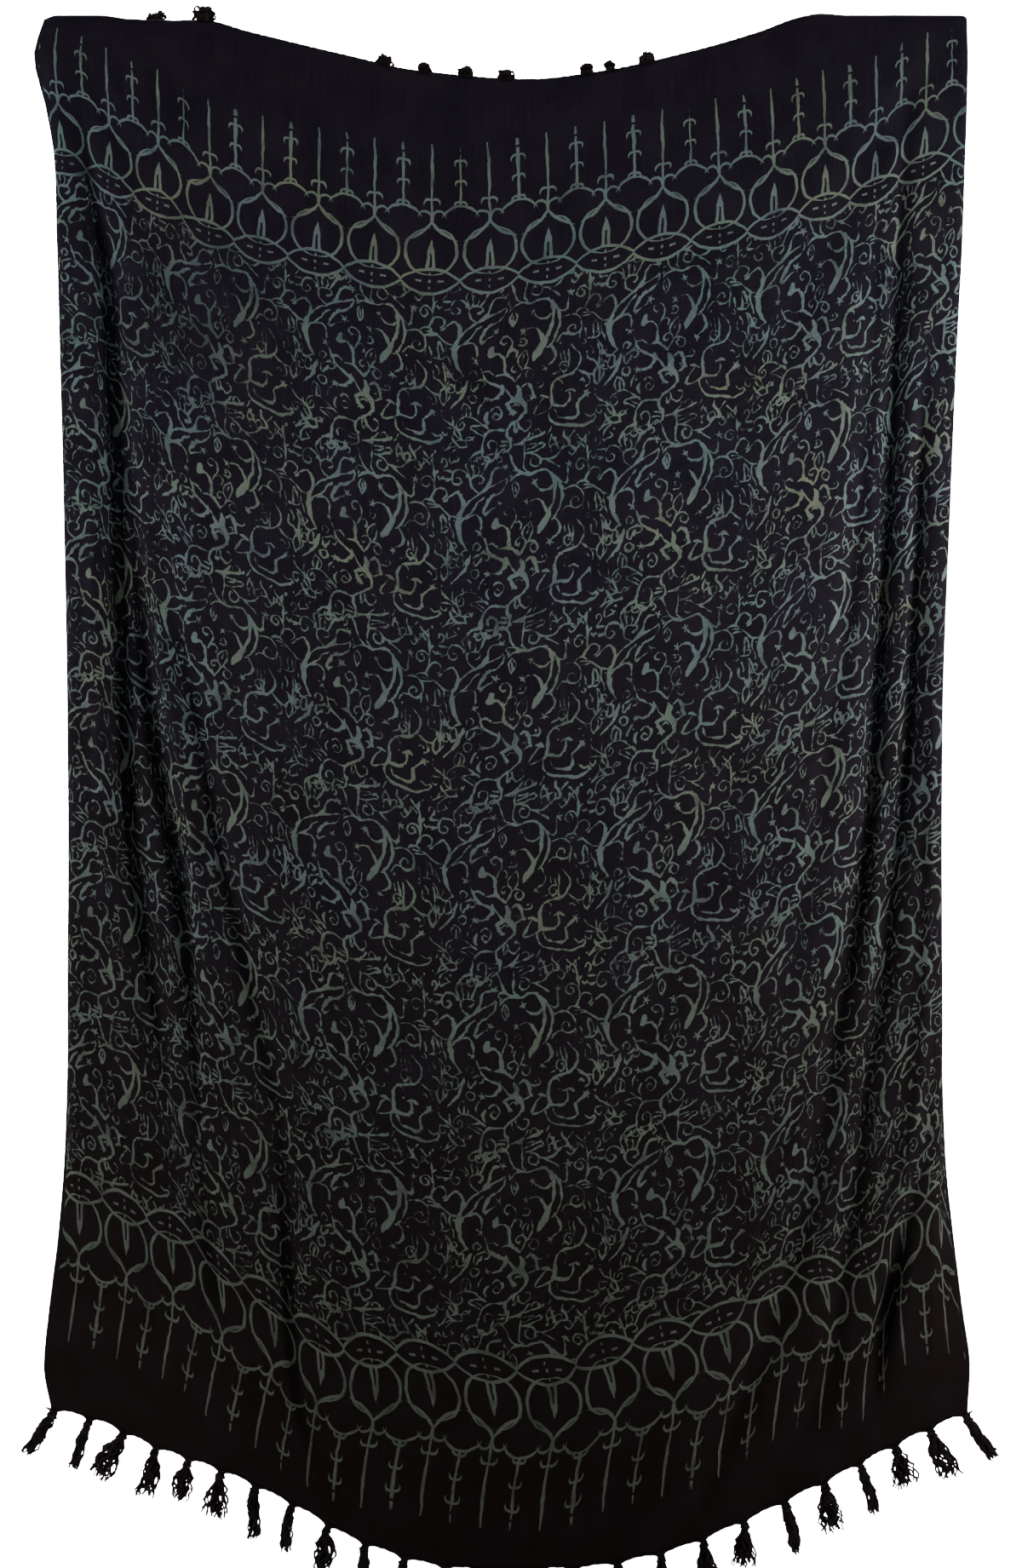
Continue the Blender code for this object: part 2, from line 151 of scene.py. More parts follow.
# The main folds, which the solid has too. Each line is a fold, with drop, x, deep and spread at each of its
# places. deep is how far the cloth dips back there, or stands forward where it is negative, and spread is
# about a quarter of the fold's width.
FOLDS = fold_lines("""
60,-480,0,10 153,-469,8,10 294,-446,14,12 453,-439,16,13 594,-435,18,13 876,-423,18,14 1111,-390,14,16
    1260,-372,6,16 1380,-360,0,16
200,-450,0,12 400,-430,6,12 594,-412,14,13 735,-399,17,13 876,-376,18,14 970,-361,18,14 1087,-350,15,15
    1260,-340,10,15 1367,-330,12,12 1460,-318,0,12
420,-405,0,14 641,-374,8,14 782,-343,14,14 900,-324,16,14 1134,-272,14,15 1250,-252,12,15
    1380,-246,18,11 1487,-240,30,11 1560,-228,12,13 1650,-188,0,14
350,458,0,10 500,451,10,10 641,446,14,10 806,437,16,11 923,424,16,12 1040,413,15,12 1178,391,13,12
    1299,378,12,13 1400,366,10,14 1500,350,8,14 1609,282,0,15
60,440,0,10 172,432,7,10 407,423,14,12 594,413,17,13 735,404,17,13 876,395,17,13 1017,377,16,14
    1087,364,14,15 1200,345,11,16 1351,314,10,16 1440,290,10,16 1520,257,9,16 1605,225,6,15
    1670,190,0,15
150,410,0,12 266,404,5,12 547,382,10,14 641,372,10,14 800,350,8,16 1000,315,5,18 1150,285,0,18
1250,448,0,9 1340,434,16,10 1420,416,27,10 1490,404,14,11 1550,396,0,12
640,474,0,9 760,470,-6,9 1000,462,-8,10 1180,450,-8,10 1300,436,-7,11 1400,436,0,12
400,-464,0,10 594,-460,-6,10 735,-455,-8,10 876,-448,-7,11 1000,-436,0,12
760,262,0,22 923,216,6,22 1100,154,7,24 1270,94,5,26 1420,40,0,28
30,-490,0,10 120,-440,4,14 260,-380,4,18 420,-330,0,24
30,480,0,10 110,420,4,14 240,350,4,18 400,290,0,24
""")

# Fine creases that only the dressed cloth has.
CREASES = fold_lines("""
80,-474,0,18 300,-440,6,24 600,-424,8,26 900,-404,7,26 1180,-372,0,26
160,424,0,18 420,412,4,24 700,400,5,26 1000,372,4,26 1250,332,0,26
190,-466,0,6 300,-447,3,6 594,-436,4.5,6 876,-424,4.5,6 1050,-400,3.5,7 1200,-378,0,7
240,-472,0,6 420,-461,-2.5,6 640,-452,-3,6 876,-442,-3,6 1060,-418,0,7
420,-428,0,6 594,-412,3.5,6 735,-399,4,6 900,-373,4,6 1100,-348,3,7 1260,-338,0,7
500,-410,0,7 640,-394,-4,7 800,-368,-5,7 980,-340,-4,7 1150,-322,0,8
200,430,0,6 407,423,2.5,6 620,412,3,6 876,395,3,6 1017,377,2.5,7 1200,345,0,8
400,455,0,5 560,449,2.5,5 800,437,3,5 1000,417,2.5,6 1180,391,0,6
1380,-246,0,12 1487,-240,-15,11 1560,-228,0,13
20,-500,0,5 90,-455,2.2,6 200,-400,1.6,8 330,-345,0,10
20,490,0,5 80,452,2,6 190,385,1.6,8 320,318,0,10
260,-470,0,4 420,-462,2.5,5 700,-452,3,5 960,-436,2,6 1100,-424,0,6
500,-396,0,5 640,-388,2.2,6 860,-352,2.4,6 1040,-322,0,7
700,-318,0,6 860,-296,2,7 1050,-252,2.2,7 1240,-214,0,8
900,-240,0,8 1120,-196,1.8,9 1320,-160,1.6,9 1480,-120,0,10
420,440,0,4 620,430,2.6,5 860,416,2.8,5 1060,400,2.2,6 1200,372,0,6
560,360,0,6 760,330,2,7 960,292,2.2,7 1120,250,0,8
980,350,0,6 1140,322,2.4,6 1320,282,2,7 1460,250,0,8
1240,-420,0,5 1340,-404,3,6 1440,-392,2.6,6 1540,-380,0,7
1300,-300,0,5 1400,-288,2.6,6 1500,-280,2.4,6 1600,-262,0,7
1280,392,0,5 1400,376,-2.6,6 1500,366,-2.2,6 1580,348,0,7
1200,-20,0,12 1380,6,1.6,13 1560,22,1.8,14 1700,30,0,14
""")

COLUMNS = 400
FRONT_ROWS = 108
ROWS_CROWD_AT_HEM = 1.25
ROLL_SHARES = (1.0, 0.85, 0.7, 0.55, 0.4, 0.26, 0.12)
FLAP_SHARES = (1.0, 0.66, 0.33)
DENSE_FRONT_POINTS = 900
DENSE_STRIP_POINTS = 40
SLOW_WAVES = dict(height=0.9, across=61, down=137, bend=1.3, bend_over=211, gone_across=-143, gone_down=89)
QUICK_WAVES = dict(height=0.35, across=23, down=-171, bend=0.8, bend_over=97, gone_across=71, gone_down=53)
QUICK_START = 1.1
HEM_PULL = 3.0
HEM_PULL_REACH = 60.0
HEM_PULL_SHARPNESS = 0.7
SHELL = 0.5
FLAT_MAP = "OFBake"


def eased(keys, values, at):
    """Read a column between its rows, on one smooth curve that never overshoots a row."""
    at = np.clip(at, keys[0], keys[-1])
    step = np.diff(keys)
    slope = np.diff(values) / step
    product = slope[:-1] * slope[1:]
    total = np.where(product > 0, slope[:-1] + slope[1:], 1.0)
    tangent = np.concatenate(([slope[0]], np.where(product > 0, 2 * product / total, 0.0), [slope[-1]]))
    i = np.clip(np.searchsorted(keys, at, "right") - 1, 0, len(step) - 1)
    u = (at - keys[i]) / step[i]
    ends = values[i] * (1 + 2 * u) * (1 - u) ** 2 + values[i + 1] * u**2 * (3 - 2 * u)
    return ends + step[i] * (tangent[i] * u * (1 - u) ** 2 - tangent[i + 1] * u**2 * (1 - u))


def smooth_step(u):
    u = np.clip(u, 0.0, 1.0)
    return u * u * (3 - 2 * u)


def drop_of(x, share):
    """How far down a crosswise row lies at x. share is 0 on the fold line at the top and 1 at the hem."""
    top = eased(TOP_LINE["x"], TOP_LINE["drop"], x) + MARGIN_ROLL_RADIUS
    hem = HEM_DROP - eased(HEM_LINE["x"], HEM_LINE["rise"], x)
    return top + (hem - top) * share


def dip(folds, x, drop):
    """How far back these folds carry the cloth."""
    back = 0.0
    for fold in folds:
        line, deep, spread = (eased(fold["drop"], fold[name], drop) for name in ("x", "deep", "spread"))
        back = back + deep * np.exp(-(((x - line) / spread) ** 2))
    return back


def waves(kind, x, drop, bent_along, start=0.0):
    """Waves that bend as they run, and come and go over the cloth."""
    bend = kind["bend"] * np.sin(bent_along / kind["bend_over"])
    wave = np.sin(x / kind["across"] + drop / kind["down"] + bend)
    return kind["height"] * (wave * np.sin(drop / kind["gone_down"] + x / kind["gone_across"] + start))


def limp(x, drop):
    """The faint slackness of thin cloth between its folds, in slow waves with quicker ones over them."""
    return waves(SLOW_WAVES, x, drop, drop) + waves(QUICK_WAVES, x, drop, x, QUICK_START)


def set_back(x, drop):
    """How far the cloth lies behind the plane of its held corners."""
    belly = BELLY_FORWARD * (1 - (x / HELD_HALF_SPAN) ** 2) * np.sin(math.pi * drop / BELLY_HEIGHT)
    wavy = HEM_WAVE * smooth_step((drop - HEM_WAVES_FROM) / HEM_WAVES_GROW_OVER)
    back = wavy * np.sin(2 * math.pi * x / HEM_WAVE_PITCH) - belly
    return back + dip(FOLDS, x, drop) + dip(CREASES, x, drop) + limp(x, drop)


def turned_strip(width, turn):
    """An outer strip turned away over a round crease: how far its points are outwards and back."""
    along = np.linspace(0, width, DENSE_STRIP_POINTS)
    bent = np.minimum(along / CREASE_RADIUS, turn)
    straight = along - CREASE_RADIUS * bent
    outwards = CREASE_RADIUS * np.sin(bent) + straight * math.cos(turn)
    backwards = CREASE_RADIUS * (1 - np.cos(bent)) + straight * math.sin(turn)
    return outwards, backwards


def side_at(side, share):
    """The crease of a side and its turned strip, on one crosswise row."""
    drop = drop_of(-HELD_HALF_SPAN if side == "left" else HELD_HALF_SPAN, share)
    reach = float(eased(SIDES["drop"], SIDES[side], drop))
    turn = math.radians(float(eased(SIDES["drop"], SIDES[side + "_turn"], drop)))
    outwards, backwards = turned_strip(LEFT_STRIP if side == "left" else RIGHT_STRIP, turn)
    sign = -1 if side == "left" else 1
    crease = reach - sign * outwards.max()
    return crease, crease + sign * outwards, backwards


def row_of_cloth(share, cloth):
    """Where the points of one crosswise row hang. cloth is their places across the flat cloth."""
    left, left_x, left_back = side_at("left", share)
    right, right_x, right_back = side_at("right", share)
    front = np.linspace(left, right, DENSE_FRONT_POINTS)
    x = np.concatenate((left_x[:0:-1], front, right_x[1:]))
    strip_back = np.concatenate((left_back[:0:-1], np.zeros(DENSE_FRONT_POINTS), right_back[1:]))
    drop = drop_of(x, share)
    y = strip_back + set_back(np.clip(x, left, right), drop)
    points = np.stack((x, y, -drop), 1)
    run = np.linalg.norm(np.diff(points, axis=0), axis=1)
    taken = run / (1 + HEM_STRETCH * share)
    gathered = run * smooth_step((np.abs(x[1:]) - SMOOTH_HALF_SPAN) / GATHERS_GROW_OVER)
    taken += gathered * (CLOTH_WIDTH - taken.sum()) / gathered.sum()
    used = np.concatenate(([0], np.cumsum(taken)))
    return np.stack([np.interp(cloth, used, axis) for axis in points.T], 1)


def margin_rows(fold_line, cloth):
    """The turned-over top margin, from its free edge to the fold line, how far down the flat cloth each row
    is, and the margin's depth."""
    depth = eased(TURNED_MARGIN["cloth"], TURNED_MARGIN["depth"], cloth)
    roll = np.radians(eased(TURNED_MARGIN["cloth"], TURNED_MARGIN["roll"], cloth))
    across = np.gradient(fold_line[:, :2], axis=0)
    across /= np.linalg.norm(across, axis=1)[:, None]
    inwards = np.stack((-across[:, 1], across[:, 0], np.zeros(len(cloth))), 1)
    upwards = np.array([0.0, 0.0, 1.0])
    flap = depth - MARGIN_ROLL_RADIUS * roll
    run_out = inwards * np.sin(roll)[:, None] + upwards * np.cos(roll)[:, None]
    rows, down = [], []
    for share in ROLL_SHARES:
        angle = (roll * share)[:, None]
        rolled = inwards * (1 - np.cos(angle)) + upwards * np.sin(angle)
        rows.append(fold_line + MARGIN_ROLL_RADIUS * rolled)
        down.append(flap + MARGIN_ROLL_RADIUS * roll * (1 - share))
    flaps = [rows[0] + run_out * (flap * share)[:, None] for share in FLAP_SHARES]
    return flaps + rows, [flap * (1 - share) for share in FLAP_SHARES] + down, depth


def pulled(points, cloth, share, roots):
    """The hem sags a little at each tassel and draws up between them."""
    near = np.abs(cloth[:, None] - roots).min(axis=1)
    gap = CLOTH_WIDTH / len(roots) / 2
    lift = HEM_PULL * (np.clip(near / gap, 0, 1) ** HEM_PULL_SHARPNESS - 0.5)
    fade = math.exp(-((1 - share) * CLOTH_LENGTH / HEM_PULL_REACH))
    points[:, 2] += lift * fade
    return points


def hung_rows(roots):
    """Every row of the cloth where it hangs, from the free edge of the top margin to the hem, and the place
    of each point on the flat cloth. roots are the places of the hem's tassels."""
    cloth = np.linspace(0, CLOTH_WIDTH, COLUMNS + 1)
    shares = 1 - (1 - np.linspace(0, 1, FRONT_ROWS)) ** ROWS_CROWD_AT_HEM
    front = [pulled(row_of_cloth(share, cloth), cloth, share, roots) for share in shares]
    margin, down, depth = margin_rows(front[0], cloth)
    down = down + [depth + share * (CLOTH_LENGTH - depth) for share in shares]
    flat = np.stack((np.broadcast_to(cloth, (len(down), len(cloth))), np.array(down)), 2)
    return np.array(margin + front), flat


# ----------------------------------------------------------------------------------------------------
# Modelling

def nothing_selected():
    bpy.ops.object.select_all(action="DESELECT")


def cloth_shell(rows, flat):
    """A grid laid over the hung rows, given a wall. Its map holds each point's place on the flat cloth."""
    down, across = rows.shape[0] - 1, rows.shape[1] - 1
    nothing_selected()
    bpy.ops.mesh.primitive_grid_add(x_subdivisions=across, y_subdivisions=down, size=2)
    cloth = bpy.context.object
    cloth.name = cloth.data.name = "printed_cloth"
    mesh = cloth.data
    at = np.empty(len(mesh.vertices) * 3)
    mesh.vertices.foreach_get("co", at)
    at = at.reshape(-1, 3)
    column = np.rint((at[:, 0] + 1) / 2 * across).astype(int)
    row = np.rint((1 - at[:, 1]) / 2 * down).astype(int)
    mesh.vertices.foreach_set("co", (rows[row, column] * MM).ravel())
    corner = np.empty(len(mesh.loops), int)
    mesh.loops.foreach_get("vertex_index", corner)
    place = flat[row, column][corner] / (CLOTH_WIDTH, CLOTH_LENGTH)
    place[:, 1] = 1 - place[:, 1]
    mesh.uv_layers[0].name = FLAT_MAP
    mesh.uv_layers[FLAT_MAP].uv.foreach_set("vector", place.ravel())
    wall = cloth.modifiers.new("Wall", "SOLIDIFY")
    wall.thickness = SHELL * MM
    wall.offset = 0.0
    bpy.ops.object.modifier_apply(modifier=wall.name)
    bpy.ops.object.shade_smooth()
    return cloth


class Edge:
    """A free edge of the hung cloth, and the way out of the cloth along it."""

    def __init__(self, cloth, edge, inner):
        along = np.gradient(edge, axis=0)
        along /= np.linalg.norm(along, axis=1)[:, None]
        out = edge - inner
        out -= along * np.sum(along * out, axis=1)[:, None]
        out /= np.linalg.norm(out, axis=1)[:, None]
        self.cloth, self.edge, self.along, self.out = cloth, edge, along, out

    def read(self, values, cloth):
        return Vector([np.interp(cloth, self.cloth, axis) for axis in values.T])

    def at(self, cloth):
        """The point on the edge, and the unit vectors along it, out of the cloth and through its wall."""
        point = self.read(self.edge, cloth)
        out = self.read(self.out, cloth).normalized()
        along = self.read(self.along, cloth).normalized()
        return point, along, out, along.cross(out).normalized()


TASSEL_INSET = 4.0
HEM_TASSELS = 25
TOP_TASSELS = 28
HEM_STRAY = table("number stray", (0, 0), (3, 6), (7, -5), (12, -24), (18, -33), (21, -17), (24, 0))
TOP_STRAY = table(
    "number stray",
    (0, 0), (3, 0), (4, -18), (5, -2), (6, 0), (11, 0), (12, 5), (13, 6), (14, 8), (15, 12), (16, -5),
    (17, -5), (19, 0), (27, 0),
)
CORNER_LEAN = 34.0
LEAN_WOBBLE = 6.0
BACK_SWING = 0.05
HANGS_CLEAR = 0.22
SCATTER = 2.4
HANGING_TURN = 12.0
STANDING_TURN = 26.0
CORNER_TURN = 38.0
CORNER_TASSELS = 6
TUCKED_TURN = 8.0
STANDING_UP = (4, 5, 10, 11, 12, 13, 15, 16, 17)
STANDING_WAY = Vector((0, 0.15, 1))
TUCKED_WAY = Vector((0, 0.8, -0.6))
EDGE_CORD = 0.9
EDGE_CORD_STEP = 3.0
CORD_STANDS_OUT = 0.5
# How the cord wanders out and aside and how it swells, each by how far and how often.
CORD_OUT, CORD_ASIDE, CORD_SWELL = (0.25, 1.7), (0.2, 2.9), (0.16, 2.3)


def tassel_places(count, stray):
    """Where the tassels of one end start, across the flat cloth."""
    evenly = np.linspace(TASSEL_INSET, CLOTH_WIDTH - TASSEL_INSET, count)
    return evenly + eased(stray["number"], stray["stray"], np.arange(count))


def hem_hang(number, frame):
    """Tassels at the hem lean outwards near its corners."""
    lean = CORNER_LEAN * (frame[0].x / HELD_HALF_SPAN) ** 3 + LEAN_WOBBLE * math.sin(SCATTER * number)
    return Vector((math.sin(math.radians(lean)), 0.0, -math.cos(math.radians(lean))))


def back_hang(number, frame):
    """Tassels of the top edge hang down behind the cloth, and stand off it as they go."""
    along = frame[1]
    inwards = Vector((-along.y, along.x, 0.0)).normalized()
    swing = along * (BACK_SWING * math.sin(SCATTER * number))
    return (inwards * HANGS_CLEAR + swing - Vector((0, 0, 1))).normalized()


def hanging_start(number, frame):
    """Which way a tassel leaves the hem, and over what length it turns to hang."""
    return frame[2], HANGING_TURN


def looped_start(number, frame):
    """A few tassels of the top edge stand up over it before they hang, and the others are tucked behind."""
    if number in STANDING_UP:
        return STANDING_WAY.normalized(), CORNER_TURN if number < CORNER_TASSELS else STANDING_TURN
    return TUCKED_WAY, TUCKED_TURN


class Yarns:
    """A curve that holds many yarns of one roundness, each a spline with its own radii."""

    def __init__(self, name, sides):
        self.curve = bpy.data.curves.new(name, "CURVE")
        self.curve.dimensions = "3D"
        self.curve.bevel_depth = MM
        self.curve.bevel_resolution = sides // 2 - 2
        self.curve.use_fill_caps = True

    def lay(self, points, radii):
        spline = self.curve.splines.new("POLY")
        spline.points.add(len(points) - 1)
        for knot, point, radius in zip(spline.points, points, radii):
            knot.co = (*(Vector(point) * MM), 1.0)
            knot.radius = radius

    def as_mesh(self, name, material):
        piece = bpy.data.objects.new(name, self.curve)
        bpy.context.scene.collection.objects.link(piece)
        nothing_selected()
        piece.select_set(True)
        bpy.context.view_layer.objects.active = piece
        bpy.ops.object.convert(target="MESH")
        piece = bpy.context.object
        piece.data.materials.clear()
        piece.data.materials.append(material)
        bpy.ops.object.mode_set(mode="EDIT")
        bpy.ops.mesh.select_all(action="SELECT")
        bpy.ops.mesh.remove_doubles(threshold=MM / 1000)
        bpy.ops.mesh.normals_make_consistent(inside=False)
        bpy.ops.object.mode_set(mode="OBJECT")
        bpy.ops.object.shade_smooth()
        return piece


class TasselLine:
    """The line a tassel hangs along: out of the heading, then turning to the way it hangs."""

    STEP = 0.5

    def __init__(self, frame, hang, out, turn_over, length):
        point, along = frame[:2]
        self.points, self.ways = [point.copy()], []
        for k in range(int(length / self.STEP) + 1):
            way = out.slerp(hang, float(smooth_step((k + 0.5) * self.STEP / turn_over)))
            self.ways.append(way)
            self.points.append(self.points[-1] + way * self.STEP)
        self.along = along

    def at(self, distance):
        """The point, and the unit vectors onwards, across and through, at this distance from the root."""
        k = min(int(distance / self.STEP), len(self.ways) - 1)
        way = self.ways[k]
        through = way.cross(self.along).normalized()
        point = self.points[k] + way * (distance - k * self.STEP)
        return point, way, through.cross(way).normalized(), through


# A tassel is a bunch of the cloth's own warp yarns. Distances along it are measured from the cloth's edge.
HANGING_BUNCH = dict(gather=9.5, neck=4.8, neck_at=3.5, knot_at=8.0, knot=5.8, length=54.0)
LOOPED_BUNCH = dict(gather=8.5, neck=3.4, neck_at=3.0, knot_at=6.0, knot=6.8, length=40.0)
# How wide a tassel's skirt spreads, how far it parts in two, how much it kinks, and its share of the length.
NARROW = (1.6, 0.0, 1.2, 1.0)
FULL = (7.5, 0.0, 2.0, 0.98)
PARTED = (4.0, 6.5, 1.8, 0.88)
LOOPED = (4.2, 4.0, 1.8, 0.88)
ENDINGS = (
    NARROW, NARROW, FULL, FULL, LOOPED, PARTED, NARROW, NARROW, LOOPED, NARROW, FULL, NARROW, FULL,
    PARTED, FULL, NARROW, NARROW, FULL, PARTED, NARROW, FULL, NARROW, PARTED, FULL, NARROW,
)
ANY_ANGLE = (0, 6.3)
TASSEL_SIZES = (0.9, 1.12)
TASSEL_LENGTHS = (0.93, 1.07)
TASSEL_BENDS = (-0.10, 0.10)
SPARE_LINE = 1.2
SWAY, SWAY_WAVE, SWAY_GROWS_OVER = 0.8, 7, 12
FLATNESS = 0.75
PARTS_EARLY = 0.8
BUNCH_YARNS = 26
YARN_RINGS = 7
WITHIN_RING = 0.6
YARN_SCATTER = (-0.3, 0.3)
YARN_LENGTHS = (0.86, 1.06)
YARN_KINKS = (0.5, 1.2)
YARN = 1.5
YARN_AT_KNOT, YARN_THINS = 1.1, 0.35
SEWN_IN, SEWN_YARN, HEADING_YARN = 0.6, 0.8, 0.95
CLOSES_SOON = 1.8
HEADING_AT = (1.5, 3.2)
HEADING_TWIST = 0.16
BELOW_NECK = 3.0
BELOW_KNOT = 3.0
SKIRT_STEPS = 8
FLARES_EARLY = 1.4
KINK_WAVE = 2.3
SKIRT_TURN = 2.2
SKIRT_WOBBLE = 0.5
LOOSE_ENDS = 8
LOOSE_STEPS = 5
LOOSE_FROM = (4.0, 26.0)
LOOSE_RUNS = (6.0, 15.0)
LOOSE_CURLS = (0.8, 2.2)
LOOSE_SPREAD, LOOSE_STRAYS, LOOSE_TWIST = 0.8, 3.0, 0.3
LOOSE_YARN, LOOSE_THINS = 0.5, 0.24
CURL_WAVE = 2.6
KNOT_STEPS = 36
KNOT_TURNS = 2.2
KNOT_RISE = 6.6
KNOT_ABOVE = 3.6
KNOT_LUMPS = 1.3
KNOT_CORD = 1.7
KNOT_INSET = 1.6
KNOT_SWELL = (0.12, 0.76)
KNOT_ROUND = (0.5, 0.55)
KNOT_CORD_SWELL = (0.75, 0.35)


def raised(share, least, more):
    return least + more * share


def bunch(fine, thick, frame, hang, start, shape, ending, seed):
    """One tassel: yarns gathered off the edge, a lumpy knot and a kinked, matted skirt."""
    chance = random.Random(seed)
    spread, parting, kinking, long = ending
    size = chance.uniform(*TASSEL_SIZES)
    length = shape["length"] * long * chance.uniform(*TASSEL_LENGTHS)
    line = TasselLine(frame, hang, *start, length * SPARE_LINE)
    bend = chance.uniform(*TASSEL_BENDS)
    swing = chance.uniform(*ANY_ANGLE)
    gather, neck, neck_at, knot_at = (shape[part] for part in ("gather", "neck", "neck_at", "knot_at"))
    closes = ending is LOOPED

    def place(along, angle, radius, drift=0.0):
        point, _, across, through = line.at(along)
        past = max(along - knot_at, 0.0)
        sway = SWAY * math.sin(swing + along / SWAY_WAVE) * min(past / SWAY_GROWS_OVER, 1)
        aside = bend * past + sway + drift
        flattened = FLATNESS * radius * math.sin(angle)
        return point + across * (radius * math.cos(angle) + aside) + through * flattened

    def parted(share, side):
        return side * parting * (math.sin(math.pi * share) if closes else share ** PARTS_EARLY)

    for k in range(BUNCH_YARNS):
        start = (k + 0.5) / BUNCH_YARNS * 2 - 1
        side = math.copysign(1, start)
        angle = SCATTER * k + chance.uniform(*YARN_SCATTER)
        inner = math.sqrt((k % YARN_RINGS + WITHIN_RING) / YARN_RINGS)
        end = length * chance.uniform(*YARN_LENGTHS)
        phase, kinks = chance.uniform(*ANY_ANGLE), kinking * chance.uniform(*YARN_KINKS)
        points = [frame[0] + frame[1] * (start * gather * size) - frame[2] * SEWN_IN]
        radii = [SEWN_YARN]
        first = knot_at + BELOW_KNOT
        for along in (*HEADING_AT, neck_at, neck_at + BELOW_NECK, first):
            near = min(along / neck_at, 1.0)
            loose = start * gather * size * (1 - near) ** CLOSES_SOON
            points.append(place(along, angle + HEADING_TWIST * along, neck * size * inner * near, loose))
            radii.append(HEADING_YARN)
        for j in range(1, SKIRT_STEPS + 1):
            share = j / SKIRT_STEPS
            opened = math.sin(min(share * FLARES_EARLY, 1.0) * math.pi / 2)
            flare = size * inner * (neck + spread * opened)
            kink = kinks * math.sin(phase + KINK_WAVE * j)
            turned = angle + SKIRT_TURN + SKIRT_WOBBLE * math.sin(phase + j)
            points.append(place(first + (end - first) * share, turned, flare + kink, parted(share, side)))
            radii.append(YARN * (YARN_AT_KNOT - YARN_THINS * share))
        fine.lay(points, radii)

    for k in range(LOOSE_ENDS):
        angle, start = chance.uniform(*ANY_ANGLE), knot_at + chance.uniform(*LOOSE_FROM)
        end, side = start + chance.uniform(*LOOSE_RUNS), chance.choice((-1, 1))
        phase, curl = chance.uniform(*ANY_ANGLE), chance.uniform(*LOOSE_CURLS)
        points, radii = [], []
        for j in range(LOOSE_STEPS + 1):
            share = j / LOOSE_STEPS
            along = start + (end - start) * share
            down = min((along - knot_at) / (length - knot_at), 1.0)
            curled = curl * math.sin(phase + CURL_WAVE * j)
            out = size * (neck + spread * LOOSE_SPREAD) + LOOSE_STRAYS * share + curled
            points.append(place(along, angle + LOOSE_TWIST * share, out, parted(down, side)))
            radii.append(LOOSE_YARN - LOOSE_THINS * share)
        fine.lay(points, radii)

    points, radii = [], []
    for j in range(KNOT_STEPS + 1):
        share = j / KNOT_STEPS
        angle = share * KNOT_TURNS * 2 * math.pi + seed
        along = knot_at - KNOT_ABOVE + KNOT_RISE * share + KNOT_LUMPS * math.sin(angle * 0.5 + seed)
        swell = math.sin(math.pi * raised(share, *KNOT_SWELL))
        points.append(place(along, angle, (shape["knot"] - KNOT_INSET) * size * raised(swell, *KNOT_ROUND)))
        radii.append(KNOT_CORD * raised(swell, *KNOT_CORD_SWELL) * size)
    thick.lay(points, radii)


def wave(station, reach, often):
    return reach * math.sin(often * station)


def edge_cord(thick, edge):
    """The thin overcast roll that finishes the cloth's end."""
    stations = np.arange(0, CLOTH_WIDTH + EDGE_CORD_STEP / 2, EDGE_CORD_STEP)
    points, radii = [], []
    for k, cloth in enumerate(stations):
        point, _, out, through = edge.at(cloth)
        aside = through * wave(k, *CORD_ASIDE)
        points.append(point + out * (CORD_STANDS_OUT + wave(k, *CORD_OUT)) + aside)
        radii.append(EDGE_CORD * (1 + wave(k, *CORD_SWELL)))
    thick.lay(points, radii)


def fringe(name, edge, roots, hang_of, start_of, shape, material):
    """An edge cord with all its tassels, as one piece."""
    fine, thick = Yarns(name + "_fine", 4), Yarns(name + "_thick", 6)
    edge_cord(thick, edge)
    for number, cloth in enumerate(roots):
        frame = edge.at(cloth)
        ending = ENDINGS[number % len(ENDINGS)]
        bunch(fine, thick, frame, hang_of(number, frame), start_of(number, frame), shape, ending, number)
    thin_part = fine.as_mesh(name + "_thin", material)
    piece = thick.as_mesh(name, material)
    thin_part.select_set(True)
    bpy.context.view_layer.objects.active = piece
    bpy.ops.object.join()
    return piece


# ----------------------------------------------------------------------------------------------------
# Materials

